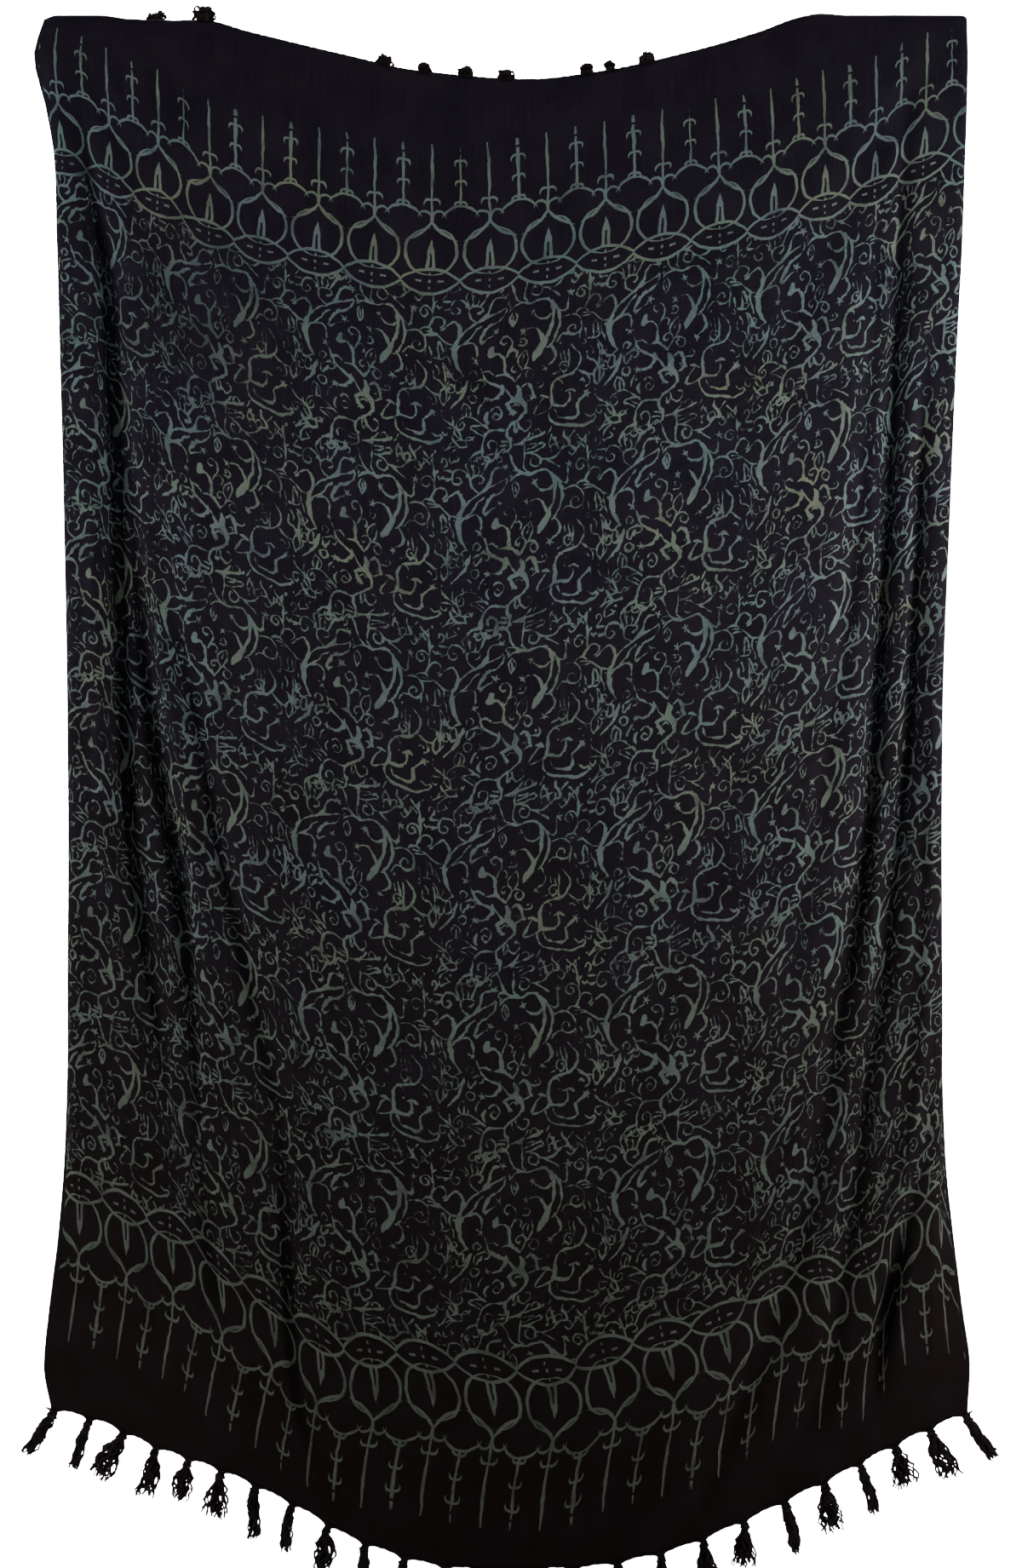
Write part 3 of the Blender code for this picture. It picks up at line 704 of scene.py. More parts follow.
class Wire:
    """What comes out of a node. Sums and comparisons with it add the nodes that work them out."""

    def __init__(self, tree, socket):
        self.tree, self.socket = tree, socket

    def node(self, kind, settings=None, sockets=None, out=0):
        made = self.tree.nodes.new(kind)
        for name, value in (settings or {}).items():
            setattr(made, name, value)
        for name, value in (sockets or {}).items():
            if isinstance(value, Wire):
                self.tree.links.new(value.socket, made.inputs[name])
            else:
                made.inputs[name].default_value = value
        return Wire(self.tree, made.outputs[out])

    def maths(self, operation, *values, clamp=False):
        settings = {"operation": operation, "use_clamp": clamp}
        return self.node("ShaderNodeMath", settings, dict(enumerate(values)))

    def __add__(self, other):
        return self.maths("ADD", self, other)

    __radd__ = __add__

    def __mul__(self, other):
        return self.maths("MULTIPLY", self, other)

    __rmul__ = __mul__

    def __sub__(self, other):
        return self.maths("SUBTRACT", self, other)

    def __rsub__(self, other):
        return self.maths("SUBTRACT", other, self)

    def __truediv__(self, other):
        return self.maths("DIVIDE", self, other)

    def __rtruediv__(self, other):
        return self.maths("DIVIDE", other, self)

    def __lt__(self, other):
        return self.maths("LESS_THAN", self, other)

    def __gt__(self, other):
        return self.maths("GREATER_THAN", self, other)

    def or_more(self, other):
        return self.maths("MAXIMUM", self, other)

    def or_less(self, other):
        return self.maths("MINIMUM", self, other)

    def within(self, centre, reach):
        return self.maths("COMPARE", self, centre, reach)

    def scaled(self, by, plus):
        return self.maths("MULTIPLY_ADD", self, by, plus)

    def clamped(self):
        return self.maths("ADD", self, 0.0, clamp=True)

    def vector(self, operation, *values, out=0):
        settings = {"operation": operation}
        return self.node("ShaderNodeVectorMath", settings, dict(enumerate((self, *values))), out)

    def distance(self, x, y):
        return self.vector("DISTANCE", (x, y, 0.0), out=1)

    def dot(self, x, y, z=0.0):
        return self.vector("DOT_PRODUCT", (x, y, z), out=1)

    def parts(self):
        made = self.tree.nodes.new("ShaderNodeSeparateXYZ")
        self.tree.links.new(self.socket, made.inputs[0])
        return [Wire(self.tree, socket) for socket in made.outputs]

    def noise(self, scale, detail=0.0, across=1.0, down=1.0, out=0):
        """Noise over the flat cloth. scale is waves in a millimetre, and across and down stretch it."""
        spot = self.vector("MULTIPLY", (across * scale, down * scale, 1.0))
        sockets = {"Vector": spot, "Scale": 1.0, "Detail": detail}
        return spot.node("ShaderNodeTexNoise", {"noise_dimensions": "2D"}, sockets, out)

    def wander(self, wave, reach, detail=0.0):
        """How far a spot strays across and down, up to half of reach either way."""
        noise = self.noise(1 / wave, detail, out=1)
        return noise.vector("MULTIPLY_ADD", (reach, reach, 0.0), (-reach / 2, -reach / 2, 0.0))

    def blended(self, one, two):
        """A colour between two, by this share."""
        sockets = {0: self, 6: one, 7: two}
        return self.node("ShaderNodeMix", {"data_type": "RGBA", "clamp_factor": True}, sockets, 2)


class Print:
    """Wax lines drawn on the flat cloth: ink is 1 on a line and 0 off it. A spot's third part is how much
    wider than charted every line is there."""

    def __init__(self, spot, ink=None):
        self.spot, self.ink = spot, ink

    def add(self, mark):
        self.ink = mark if self.ink is None else self.ink.or_more(mark)

    def stroke(self, x0, y0, x1, y1, bulge, thin, wide):
        """A stroke along an arc, bulging to the left of its way, thin at its ends and wide in its middle."""
        cx, cy, radius, nx, ny, middle, rise = arc_of(x0, y0, x1, y1, bulge)
        steep = (wide - thin) / rise
        half = self.spot.dot(nx * steep, ny * steep, 1.0) + (thin - steep * middle)
        return self.spot.distance(cx, cy).within(radius, half)

    def arc(self, *row):
        self.add(self.stroke(*row))

    def taper(self, x0, y0, x1, y1, start, end):
        """A straight stroke whose half width goes from start to end."""
        dx, dy = x1 - x0, y1 - y0
        run = math.hypot(dx, dy)
        offset = (x0 * dx + y0 * dy) / run**2
        steep = (end - start) / run**2
        half = self.spot.dot(dx * steep, dy * steep, 1.0) + (start - offset * (end - start))
        side = self.spot.dot(-dy / run, dx / run).within((y0 * dx - x0 * dy) / run, half)
        self.add(side * self.spot.dot(dx / run, dy / run).within((offset + 0.5) * run, run / 2))


def arc_of(x0, y0, x1, y1, bulge):
    """The circle of an arc, the way from its chord to its top, how far along that way the chord is, and the
    rise."""
    run = math.hypot(x1 - x0, y1 - y0)
    hand = math.copysign(1, bulge)
    nx, ny = (y1 - y0) / run * hand, (x0 - x1) / run * hand
    rise = abs(bulge)
    radius = (run * run / 4 + rise * rise) / (2 * rise)
    mx, my = (x0 + x1) / 2, (y0 + y1) / 2
    return mx + nx * (rise - radius), my + ny * (rise - radius), radius, nx, ny, mx * nx + my * ny, rise


# The block that repeats over the field. Each line is a stroke, with x, y and the stroke's width at each of
# its places. A width that isn't written is the one before it.
BLOCK = (168.0, 191.5)
BLOCK_START = (6.0, 96.0)
CHART_LEAN = 0.113
CHART_STRETCH = 1.027
LIZARD_DOWN = """
46,-24,4 49,-30,2.5 55,-33 60,-27 63,-18 67,-10,3 73,-6,4
60,1,2.5 66,-4,3 74,-6,4.5 82,-5,4 90,-8,3.5 98,-9 104,-5,5 107,3,6 107,12,4.5 106,22 102,31 98,38,6
66,-10,2 60,-10 58,-7 61,-4
104,-5,4 110,1 114,10,3.5 115,19 113,28 109,37 104,43,4
99,37,7 95,45,9 91,52,8 89,56,5
87,7,2 91,11,3 97,12.5,4 102,11 106,7
112,3,3 117,6,2.5 121,5,4.5 122,-1,2.5 122.5,-9,2
80,23,2 86,21.5,2.5 91,23,3.5 95,29,4.5 98,36,5
106,41,3 110,47,3.5 112,53,4.5 110,59,4 104,63,3
"""
LIZARD_UP = """
4,40,4 10,27,3 18,19 27,13,3.5 34,7,5.5 38,0,4 40,-8,3 44,-13 51,-14
34,8,5 44,3,2.5 51,0 56,-2 54,6 48,12,3 41,16
41,15,4 36,19,5 33,25 30,31,3.5 31,35,4.5 38,30,2 44,27
30,18,3 24,23 20,30 14,36 8,41,2.5 4,46,4
3,38,4 2,46,7 3,54 5,62,5 9,69,3.5 12,73,3
-9,21,2 -4,17,2.5 1,14,3.5 6,18,4 8,25,5 6,33 3,41
-11,24,4.5 -9,21,2
5,42,2.5 12,39,3 20,36 25,38 27,43 27,50
"""
LIZARD_CURL = """
43,41,6 42,47,9
43,48,6 50,47,3 55,51,4 57,58,4.5 57,69,5
47,71,1.5 56,70,4.5 62,73 68,79,3
30,60,2 33,68,3 36,75,4 42,79 50,83 54,86,5
34,67,3 40,66 44,69
54,82,4 54,88,6 50,94,5 44,97,3.5 38,97,2.5
56,84,2 60,91,3 65,97,4
70,84,4 72,90,7 71,97,8 75,103,7 78,108,5 78,114,4.5 73,119,3.5 68,123 62,127,4 58,132 58,139 61,144
58,103,4 64,100,6 70,98,7
59,103,4 62,109,5 65,113
64,107,2 68,104,2.5 72,106,2
76,85,3 80,82,4
83,83,5 86,88 87,94,4 88,97,5
86,87,3 92,87,2.5 97,86 98,82,2 96,80,1.5
88,97,3 84,100 80,102,2
"""
LIZARD_BOAT = """
129,43,1.5 133,48,2 138,54,2.5 139,60,3 137,66,3.5 132,73,4 124,76 116,78 110,82,3.5 107,89,4 107,98,5
    107,106,5.5 105,112,3
117,51,1.5 118,58,2
121,48,1.5 122,56,2 124,62,2.2
126,48,1.5 127,57,2 126,66,2.5 127,73,3
124,62,2.2 119,61 116,66 118,71,3.5 122,72,4 124,67,2.5 121,65,2
107,108,5 114,109,4.5 121,109,4 125,106,3.5 127,100,3 126,94,2.5
122,94,2.5 128,92,4.5 133,94,2.5
116,122,3 122,123 129,124,4 135,121,4.5 135,114,3.5 135,108 140,103 145,98,5
103,114,3 104,121 108,127,3.5 114,130,4 122,131 131,132 140,133 148,130,3.5 154,127,4.5 154,122,3.5
    149,124,3 144,121,2
106,110,4 100,114,2.5 93,117 88,117,3 90,111,3.5 94,104,2.5 98,99,2
94,97,3 98,97,4.5 103,99,2.5
110,113,2 112,118 114,122,1.5
"""
VINES = """
59,51,3 61,46 64,41,2.5 64,34,2.2 60,29,2 55,29,2.2 52,33 55,37,2.8 58,36,2
62,46,2 67,44,2.2 70,47,2.5 69,52
72,40,2.2 78,40,2.5 80,36,2.2 77,33,1.6 73,33
66,62,1.8 71,61,2 75,66,2.5 73,72 68,79
75,67,2 80,65,2.5 86,67,2.2 88,71 86,76,2.8 81,76 79,71,2.2 82,68,1.8
66,62,2 64,65 66,69,2.8 69,67,2
80,95,1.8 83,94 84,98
19,73,2 19,69 22,66,2.2 26,68,2.5 26,72,3 23,73,2
28,76,3 33,76,2 36,78,2.5 35,82,3 31,83,2.5
20,80,2.2 20,87,2.5 22,89,3 26,85,4 28,81,3
22,79,2 27,77,3 31,74,2
12,73,2.5 6,77,2 3,83 2,89,2.5 4,92 9,90,3 14,84,5 16,78,3
14,86,4 11,94,4.5 6,101,3.5 1,106,3 -3,110,2.5
17,96,2 21,93 26,95,2.5 25,101,2.8 20,102,2.5 17,97,2
12,118,2.2 20,118,2.5 26,121,2 31,125,2.5 36,128,4
11,119,2 5,123,2.2 3,128 5,133,2.5 10,132 12,127,2.2 9,124,2 7,128,2.5
1,131,2 0,136,2.2 -1,140,1.5
34,126,3 26,127,2.2 18,130 25,134 32,138,2
26,130,1.5 33,134
31,103,2.5 28,108 27,114
37,112,3 35,116,4 35,120 37,124,2.5
42,109,3 46,106,2.2 51,108 53,113,2.5 50,119 45,120,2.2 43,116,2 46,113,2.2 49,115,2
56,132,3 46,131 38,133,4 33,140,3 31,147,3.5 30,156,5
30,158,3 33,164 38,166,3.5 44,162,3 46,155,3.5 47,149,2.5 45,144,2.2 40,143 37,147 38,151,2.5
34,158,2 40,158,2.5 44,157,2
46,158,3 50,161 51,165 48,167,2
29,155,5 22,158,3.5 17,163,2.5 14,169,2
20,167,2.2 26,164 29,160,2.5
61,142,4 61,152 57,155,3 52,157,2.5
50,149,3 57,149,3.5
52,144,2.5 58,145,3
65,149,3 73,147,4 79,142,3 83,136,2.5
86,139,1.8 87,135,2 91,133 94,136,2.5 93,140
70,125,3 72,131 77,135 82,132,2.5 84,127,2 82,123 79,123,2.5
66,123,2.5 66,131 67,136,3 70,131,2
-3,141,2.5 0,147,4 6,152,3 14,151
14,150,2.5 13,144 16,140,2.2 20,141,2.5 20,144,2
-10,158,2.5 -4,154 3,151,3
4,153,2.5 -2,158,2.2 -5,163 -5,170,3 0,168,2.2 5,165,3 2,162,2
31,-26,4 38,-24,5 35,-18,3.5 31,-10,2.5 28,-5,3
14,-21,2 12,-15,2.2 14,-9 16,-2,2.5 17,5 19,9 25,13
-10,3,3 -5,1,2.5 -3,-4 0,-9 6,-10 11,-8 15,-3,2.2
-4,0,2.5 -2,5 2,6,3 6,3 5,-1,2.5 2,-1,2
18,-22,2 18,-16,2.5 20,-8,2 19,-3
25,-15,1.8 26,-10,2 24,-5
17,-1,3 20,-4 28,-5,2.5 31,-2 29,2,3.5 26,3,3
25,-25,2.2 25,-20,2.5 29,-18 33,-21,2.2 31,-25,1.8 28,-22
0,-50,3 4,-45,2.5 10,-42 17,-43 22,-47,2
74,-37,3 77,-41 84,-43 92,-46,3.5 98,-49,4
77,-40,2.5 76,-33,2.2 76,-26,3 75,-18,2.5 75,-11,3 78,-8
79,-36,1.8 85,-37,2 89,-38
79,-31,1.8 84,-33,2 90,-36
78,-27,2.2 85,-28,2.5 92,-32 98,-34,3 97,-38 92,-37
84,-26,2.2 90,-25,2.5 93,-20 91,-14,2.8 86,-13 82,-16,2.5 83,-22,2.2 86,-22,2
90,-25,2.5 94,-21 100,-20,3 106,-21,2.5 112,-25,3 118,-31,2.2 124,-33 130,-31 131,-26,2.5 127,-23
    124,-26,2
100,-19,3.5 105,-16,2.5 110,-13,2.2 113,-11,2.5
111,-30,2 112,-36 118,-39 119,-34 114,-29
104,-34,2.5 109,-36 112,-31,2
106,140,3 103,148,2.5 105,155,2
107,143,3 111,150,2.5 113,157
119,136,2 119,142,3 123,147,4 125,153 120,154,2
131,138,2.5 128,142,2.2 125,145,1.8
134,150,2.2 134,156,2.5 130,159,2.2 128,156,2
134,150,2.2 139,153,2.5 141,156
144,147,2 143,152,3
106,131,2 104,136 102,139,1.5
134,-44,2.5 137,-40 141,-38,3 144,-43,2.5
136,-32,2 139,-38,2.5
141,-38,2.5 144,-31 145,-23,4 145,-14,2.5 145,-6,2.2 143,0,2.5 141,5,3 136,6 132,9,2
145,-22,4 149,-25,3
145,-10,2 143,-15 138,-18,2.2 133,-16 131,-11 134,-7,2.5 139,-8 139,-13,2.2 136,-14,1.8
141,5,3 145,8,2
144,0,2.5 147,-6,2.8 152,-8 157,-6 158,-1,2.5 155,3,3
154,-35,2.5 155,-39,2.2 159,-38 159,-33,2.5 155,-28,2
156,-26,3 163,-26
154,-18,2.5 162,-18
149,-20,2 151,-17,3 154,-20,2
118,13,2 124,11,2.2 131,11,2.5 137,16,2.2 139,24 137,30,2.5 131,33,2.8 125,31,2.5 124,26,2.2 128,22
    132,23 132,26,2.5
125,31,2.5 119,31 116,34 113,39,2
138,26,2 138,32 138,37,1.5
138,10,2 144,10 150,11,2.2 156,16,2.5 162,20,2.8 168,21,2.2 169,24,2 166,25,3
138,14,1.5 144,13,2.5 151,12,2
162,20,2.5 161,26,2 162,32,2.2 165,38,2.5 166,43,2
153,19,2 152,26,2.5 153,34,3 152,38,2.5
154,19,2 157,25,3 158,30,2.5
148,38,2.5 154,38 158,37 160,33,2.2 156,32,2
143,27,2 144,31,2.5 145,36,1.5
140,43,1.5 144,44,2 145,41 143,39,1.5
150,46,2.5 153,51,2 153,55,1.8
147,52,2 147,58,2.2 148,61,2
109,74,2 114,72 117,70
113,80,3 117,81,2 119,85,1.5
137,71,1.8 141,74,3 146,77,2.5 152,78,2
145,77,1.5 149,82,1.8 149,88,2 145,90
139,83,2 142,82,2.5 144,85,2
158,42,2.5 162,47 165,54,3.5 169,59,3 176,60 177,66,2.5 178,71,3
-5,70,3 -5,76,3.5 -1,73,2.5 1,69,2.2 -2,67,2 -5,69
164,70,3 164,66,2 167,65 170,68,2.2 169,73,2.5 164,74 161,69,2.2 163,62,2
158,70,2.5 154,76 154,83 157,89,3
159,70,2.5 161,77 160,84 157,89
160,86,2 164,80 165,76,1.5
150,62,2.5 155,63,3 158,69
158,45,2.2 160,53,2.5 160,62 159,70,3
155,100,2 158,105,2.5 163,108 169,112,3 174,117 176,124,3.5
167,100,1.8 167,106,2.2 168,110,2
156,112,1.5 155,117,2 157,121,2.5 161,121,3 161,118,2
157,113,2 163,113 169,114
162,136,4 165,130,2.5 170,127 176,125
"""
LEAVES = """
80,45,1.5 74,50,2.2 71,56 72,61,2
80,45,1.5 82,52,2.2 81,59 78,64,2
78,50,1.2 76,57,1.6
12,103,2 9,110 10,117
12,103,2 18,107,2.2 19,114 17,118,2
15,108,2 14,117,3
64,2,1.5 61,8,2.5 62,14 64,18,3
65,2,1.5 68,8,2.5 67,14 64,18,3
64,7,2 65,13,2.5
"""
# x, y and size.
STARS = (
    (85, 4, 9), (124, -13, 9.5), (76, 25, 9), (101, 67, 9.5), (54, -14, 9.5), (47, 23, 9.5), (26, 55, 9),
    (35, 97, 9), (64, 113, 8.5), (146, 98, 9.5), (71, 86, 6),
)
DOTS = (
    (74, 36, 2.5), (7, -28, 2.6), (105, -28, 2.6), (147, 141, 3.4), (20, 171, 3), (33, 108, 2.2),
    (155, 95, 2.2), (156, 136, 2.4), (117, 41, 2.5), (118, 92, 2.2), (55, -3, 2.2), (93, 82, 2.2),
    (110, -42, 2.6), (13, 183, 3.2), (60, 184, 2.6), (22, 53, 2.5),
)

STROKE_STEP = 0.5
STAR_RAYS = 5
STAR_TURN = (0.37, 0.61)
RAY_ROOT = 0.36
RAY_TIP = 0.12
DOT_RUN = 0.3
MOST_SLANT = 0.66
EDGE_REACH = 5.0
LEAST_STEP = 1e-6
LEAST_BEND = 0.01
ROUND_END = (0.3, 0.6, 0.8, 0.92, 0.99)


def star_strokes(x, y, size):
    """The rays of a small star, each from its middle to a tip."""
    for ray in range(STAR_RAYS):
        angle = 2 * math.pi * (ray / STAR_RAYS + (x * STAR_TURN[0] + y * STAR_TURN[1]) % 1)
        tip = (x + size / 2 * math.cos(angle), y + size / 2 * math.sin(angle), size * RAY_TIP)
        yield [(x, y, size * RAY_ROOT), tip]


def smooth_line(places):
    """Closely spaced places along one smooth line through the charted ones."""
    charted = np.array(places, float)
    charted = np.vstack((2 * charted[0] - charted[1], charted, 2 * charted[-1] - charted[-2]))
    parts = []
    for before, start, end, after in zip(charted, charted[1:], charted[2:], charted[3:]):
        count = max(2, int(math.hypot(*(end - start)[:2]) / STROKE_STEP))
        u = (np.arange(count) / count)[:, None]
        bend = u * (end - before) + u**2 * (2 * before - 5 * start + 4 * end - after)
        parts.append(start + (bend + u**3 * (3 * (start - end) + after - before)) / 2)
    return np.vstack(parts + [charted[-2:-1]])


def round_end(end, inner):
    """Places that carry a stroke on past its end and round it off."""
    onwards = (end - inner)[:2] / np.linalg.norm((end - inner)[:2])
    half = end[2] / 2
    return [[*(end[:2] + onwards * half * out), 2 * half * math.sqrt(1 - out**2)] for out in ROUND_END]


class Track:
    """A line of stations along one side of the block. At each, it holds the middle and the half width of the
    run of a stroke that passes there."""

    STATIONS = 256
    CLEAR = 2
    NOTHING = -1.0

    def __init__(self):
        self.middle, self.half = np.zeros(self.STATIONS), np.full(self.STATIONS, self.NOTHING)
        self.free = np.full(self.STATIONS, True)

    def takes(self, first, last):
        return self.free[max(first - self.CLEAR, 0):last + self.CLEAR + 1].all()

    def lay(self, first, last, middle, half):
        low, high = max(first - self.CLEAR, 0), min(last + self.CLEAR, self.STATIONS - 1)
        lead = (middle[1] - middle[0], middle[-1] - middle[-2]) if len(middle) > 1 else (0.0, 0.0)
        for k in range(low, high + 1):
            if k < first:
                self.middle[k] = middle[0] - lead[0] * (first - k)
            elif k > last:
                self.middle[k] = middle[-1] + lead[1] * (k - last)
            else:
                self.middle[k], self.half[k] = middle[k - first], half[k - first]
        self.free[low:high + 1] = False


class Block:
    """A repeating block of strokes. Each stroke is cut where it turns, into runs that go mainly across or
    mainly down the block. Runs that don't pass each other share a track."""

    def __init__(self, size):
        self.size, self.tracks = size, ([], [])

    def add(self, places):
        line = smooth_line(places)
        line = np.vstack((round_end(line[0], line[1])[::-1], line, round_end(line[-1], line[-2])))
        line[:, 1] = (line[:, 1] + CHART_LEAN * line[:, 0]) * CHART_STRETCH
        step = np.gradient(line[:, :2], axis=0)
        axis = (np.abs(step[:, 1]) >= np.abs(step[:, 0])).astype(int)
        along = step[np.arange(len(step)), axis]
        half = line[:, 2] / 2 * np.linalg.norm(step, axis=1) / np.maximum(np.abs(along), LEAST_STEP)
        half = np.minimum(half, line[:, 2] / 2 / MOST_SLANT)
        turns = np.flatnonzero(np.diff(axis * 2 + (along > 0))) + 1
        for part in np.split(np.arange(len(line)), turns):
            kept = slice(max(part[0] - 1, 0), part[-1] + 2)
            run = line[kept, axis[part[0]]], line[kept, 1 - axis[part[0]]], half[kept]
            order = np.argsort(run[0])
            self.add_run(axis[part[0]], *(values[order] for values in run))

    def add_run(self, axis, along, middle, half):
        """A run, and those of its neighbours in the next blocks that reach into this one."""
        length, width = self.size[axis], self.size[1 - axis]
        stations = np.linspace(0, length, Track.STATIONS)
        for turn in (-length, 0, length):
            on = np.flatnonzero((stations >= along[0] + turn) & (stations <= along[-1] + turn))
            if len(on) == 0:
                nearest = np.argmin(np.abs(stations - along.mean() - turn))
                if abs(stations[nearest] - along.mean() - turn) > stations[1]:
                    continue
                on = np.array([nearest])
            for aside in (-width, 0, width):
                at = np.interp(stations[on], along + turn, middle) + aside
                if at.max() > -EDGE_REACH and at.min() < width + EDGE_REACH:
                    self.lay(axis, on[0], on[-1], at, np.interp(stations[on], along + turn, half))

    def lay(self, axis, first, last, middle, half):
        track = next((track for track in self.tracks[axis] if track.takes(first, last)), None)
        if track is None:
            track = Track()
            self.tracks[axis].append(track)
        track.lay(first, last, middle, half)

    def sets_of_three(self, axis):
        tracks = self.tracks[axis] + [Track()] * (-len(self.tracks[axis]) % 3)
        return [tracks[k:k + 3] for k in range(0, len(tracks), 3)]


def field_block():
    block = Block(BLOCK)
    for chart in (LIZARD_DOWN, LIZARD_UP, LIZARD_CURL, LIZARD_BOAT, VINES, LEAVES):
        for stroke in charted(chart):
            block.add(stroke)
    for star in STARS:
        for ray in star_strokes(*star):
            block.add(ray)
    for x, y, size in DOTS:
        block.add([(x, y - DOT_RUN, size), (x, y + DOT_RUN, size)])
    return block


def looked_up(place, rows):
    """Three rows of values, each read at this place, as the parts of one vector."""
    curves = place.tree.nodes.new("ShaderNodeRGBCurve")
    curves.mapping.use_clip = False
    for curve, values in zip(curves.mapping.curves, rows):
        bends = np.flatnonzero(np.abs(np.diff(values, 2)) > LEAST_BEND) + 1
        curve.points[0].location, curve.points[-1].location = (0, values[0]), (1, values[-1])
        for k in bends:
            curve.points.new(k / (len(values) - 1), values[k])
        for point in curve.points:
            point.handle_type = "VECTOR"
    curves.mapping.update()
    place.tree.links.new(place.socket, curves.inputs["Color"])
    return Wire(place.tree, curves.outputs[0])


def thrice(value):
    return value.node("ShaderNodeCombineXYZ", {}, {0: value, 1: value, 2: value})


def depth_in_strokes(spot, block):
    """How many millimetres inside a stroke each spot of the block is, and less than zero between strokes."""
    place = spot.parts()[:2]
    deepest = None
    for axis in (0, 1):
        along, aside = thrice(place[axis] * (1 / block.size[axis])), thrice(place[1 - axis])
        for tracks in block.sets_of_three(axis):
            middle = looked_up(along, [track.middle for track in tracks])
            half = looked_up(along, [track.half for track in tracks])
            depth = half.vector("SUBTRACT", aside.vector("SUBTRACT", middle).vector("ABSOLUTE"))
            deepest = depth if deepest is None else deepest.vector("MAXIMUM", depth)
    one, two, three = deepest.parts()
    return one.or_more(two).or_more(three)


# The border's own block: x is from a dome's middle line, and y is from the dome's tip towards the field. An
# arc's row is where it starts and ends, how far it bulges, and its half width at its ends and in its middle.
# A taper's row is where it starts and ends, and its half width at each.
DOMES = 18
DOME_PITCH = CLOTH_WIDTH / DOMES
DOME_ARCS = (
    (0.3, -21.5, 8.5, -18.5, 2.6, 0.7, 1.4),
    (1.5, -4.5, 14, -6.5, 3.8, 0.8, 1.4),
    (14, -6.5, 31, -15, 2.0, 0.8, 1.4),
    (0.5, 2, 22, 20, -1.6, 1.0, 1.6),
    (21, 17, 17.5, 56, 9.0, 1.2, 1.7),
    (-33.4, 68, 33.4, 68, 13.5, 1.2, 1.6),
    (33.4, 67, -33.4, 67, 15.0, 1.2, 1.6),
)
DOME_TAPERS = (
    (0, -84, 0, -55, 0.8, 1.9),
    (0, -55, 0, -26, 1.9, 1.1),
    (0, -26, 0, -6, 1.0, 1.5),
    (0, -8, 0, 4, 2.7, 1.2),
    (0, 22, 0, 33, 0.3, 3.6),
    (0, 33, 0, 54, 3.6, 5.4),
    (9, 68, 15.5, 67.5, 1.3, 1.0),
    (0, 58, 0, 61.5, 0.8, 1.1),
    (0, 66.3, 0, 69.6, 1.2, 1.2),
    (0, 74, 0, 77, 1.1, 0.7),
)
KEYHOLE = (0, 37, 0, 53, 1.0, 1.6)
BRANCH_ARCS = (
    (0.0, -64.5, 7.2, -61, 2.4, 0.7, 1.3),
    (0.0, -42, 6.4, -39.5, 1.9, 0.7, 1.2),
    (0.0, -19, 7.0, -15.5, 2.0, 0.8, 1.3),
)
BRANCH_TAPERS = (
    (0, -84, 0, -76, 0.7, 1.5),
    (0, -73.5, 0, -61, 1.0, 1.8),
    (0, -61, 0, -40, 1.9, 1.2),
    (0, -40, 0, -14, 1.2, 1.8),
)
HEM_SQUEEZE = 0.86
HEM_STEPS = 20
DOME_LEAN = 0.04
FIELD_FROM = 60.0
FIELD_CLEAR = 1.5
BARE_SELVEDGE = 7
# How far each dome's tip was stamped from the cloth's end, for the eighteen domes of each end.
TOP_TIPS = (155, 153, 150, 175, 176, 172, 168, 164, 156, 144, 140, 140, 144, 152, 149, 144, 136, 138)
HEM_TIPS = (177, 176, 178, 151, 139, 124, 135, 147, 143, 139, 155, 159, 155, 171, 159, 143, 182, 170)
TIP_BASE = 100.0
TIP_RANGE = 100.0

# How the stamp and the wax wander, each by a wave and a reach.
STAMP_DRIFT = (190, 7.0)
HAND_TREMBLE = (11, 2.2)
SPREAD_WAVE = 8
HEAVY_WAVE = 45
WAX_EDGE = 1.2
WAX_AT_EDGE = 0.3
PATCH_WAVE = 34
GRAIN_WAVE = 2.2
FAINT_PRINT = (215.0, 340.0)
FAINT_PRINT_REACH = 190.0
WAX_TEAL = (0.030, 0.045, 0.042, 1.0)
WAX_OLIVE = (0.041, 0.048, 0.035, 1.0)
WAX_BLUE = (0.033, 0.043, 0.046, 1.0)
# Wax low on the cloth: browner, and darker as painted shade.
WAX_LOW_SHADED = (0.0205, 0.0235, 0.0185, 1.0)
OLIVE_WAVE = 120
BLUE_WAVE = 90
GROUND_PLUM = (0.0035, 0.0029, 0.0044, 1.0)
# Ground low on the cloth: browner, and darker as painted shade.
GROUND_BROWN_SHADED = (0.0029, 0.0020, 0.0018, 1.0)
GROUND_WORN = (0.0070, 0.0056, 0.0082, 1.0)
THREAD_WAVE = 1.3
SLUB_WAVE = 0.9
FADE_WAVE = 55
THREAD_STRETCH = 0.02
SLUB_STRETCH = 0.03
WEAVE_STRENGTH = 0.35
WEAVE_HEIGHT = 0.0004
THREADS_STAND, SLUBS_STAND = 0.6, 0.5
CLOTH_ROUGHNESS = 0.74
WAX_ROUGHER, WORN_ROUGHER = 0.08, 0.06

# How each noise or distance turns into a share or a size: what it is multiplied by and what is added.
SPREAD_RANGE = (3.0, -1.75)
HEAVY_RANGE = (2.0, -1.2)
FAINT_PRINT_RANGE = (0.6, 0.45)
PATCHES_SHARE, GRAIN_SHARE = 1.5, 0.6
WAX_TAKES = (1.0, -0.12)
OLIVE_RANGE = (3.2, -1.1)
BLUE_RANGE = (4.0, -1.7)
# Towards the hem: the share of browning and of painted shade.
HEM_SHADE_AND_BROWN_RANGE = (1.5, -0.4)
THREADS_SHARE, SLUBS_SHARE, FADED_SHARE = 0.7, 0.5, 0.9
WORN_RANGE = (2.2, -1.8)
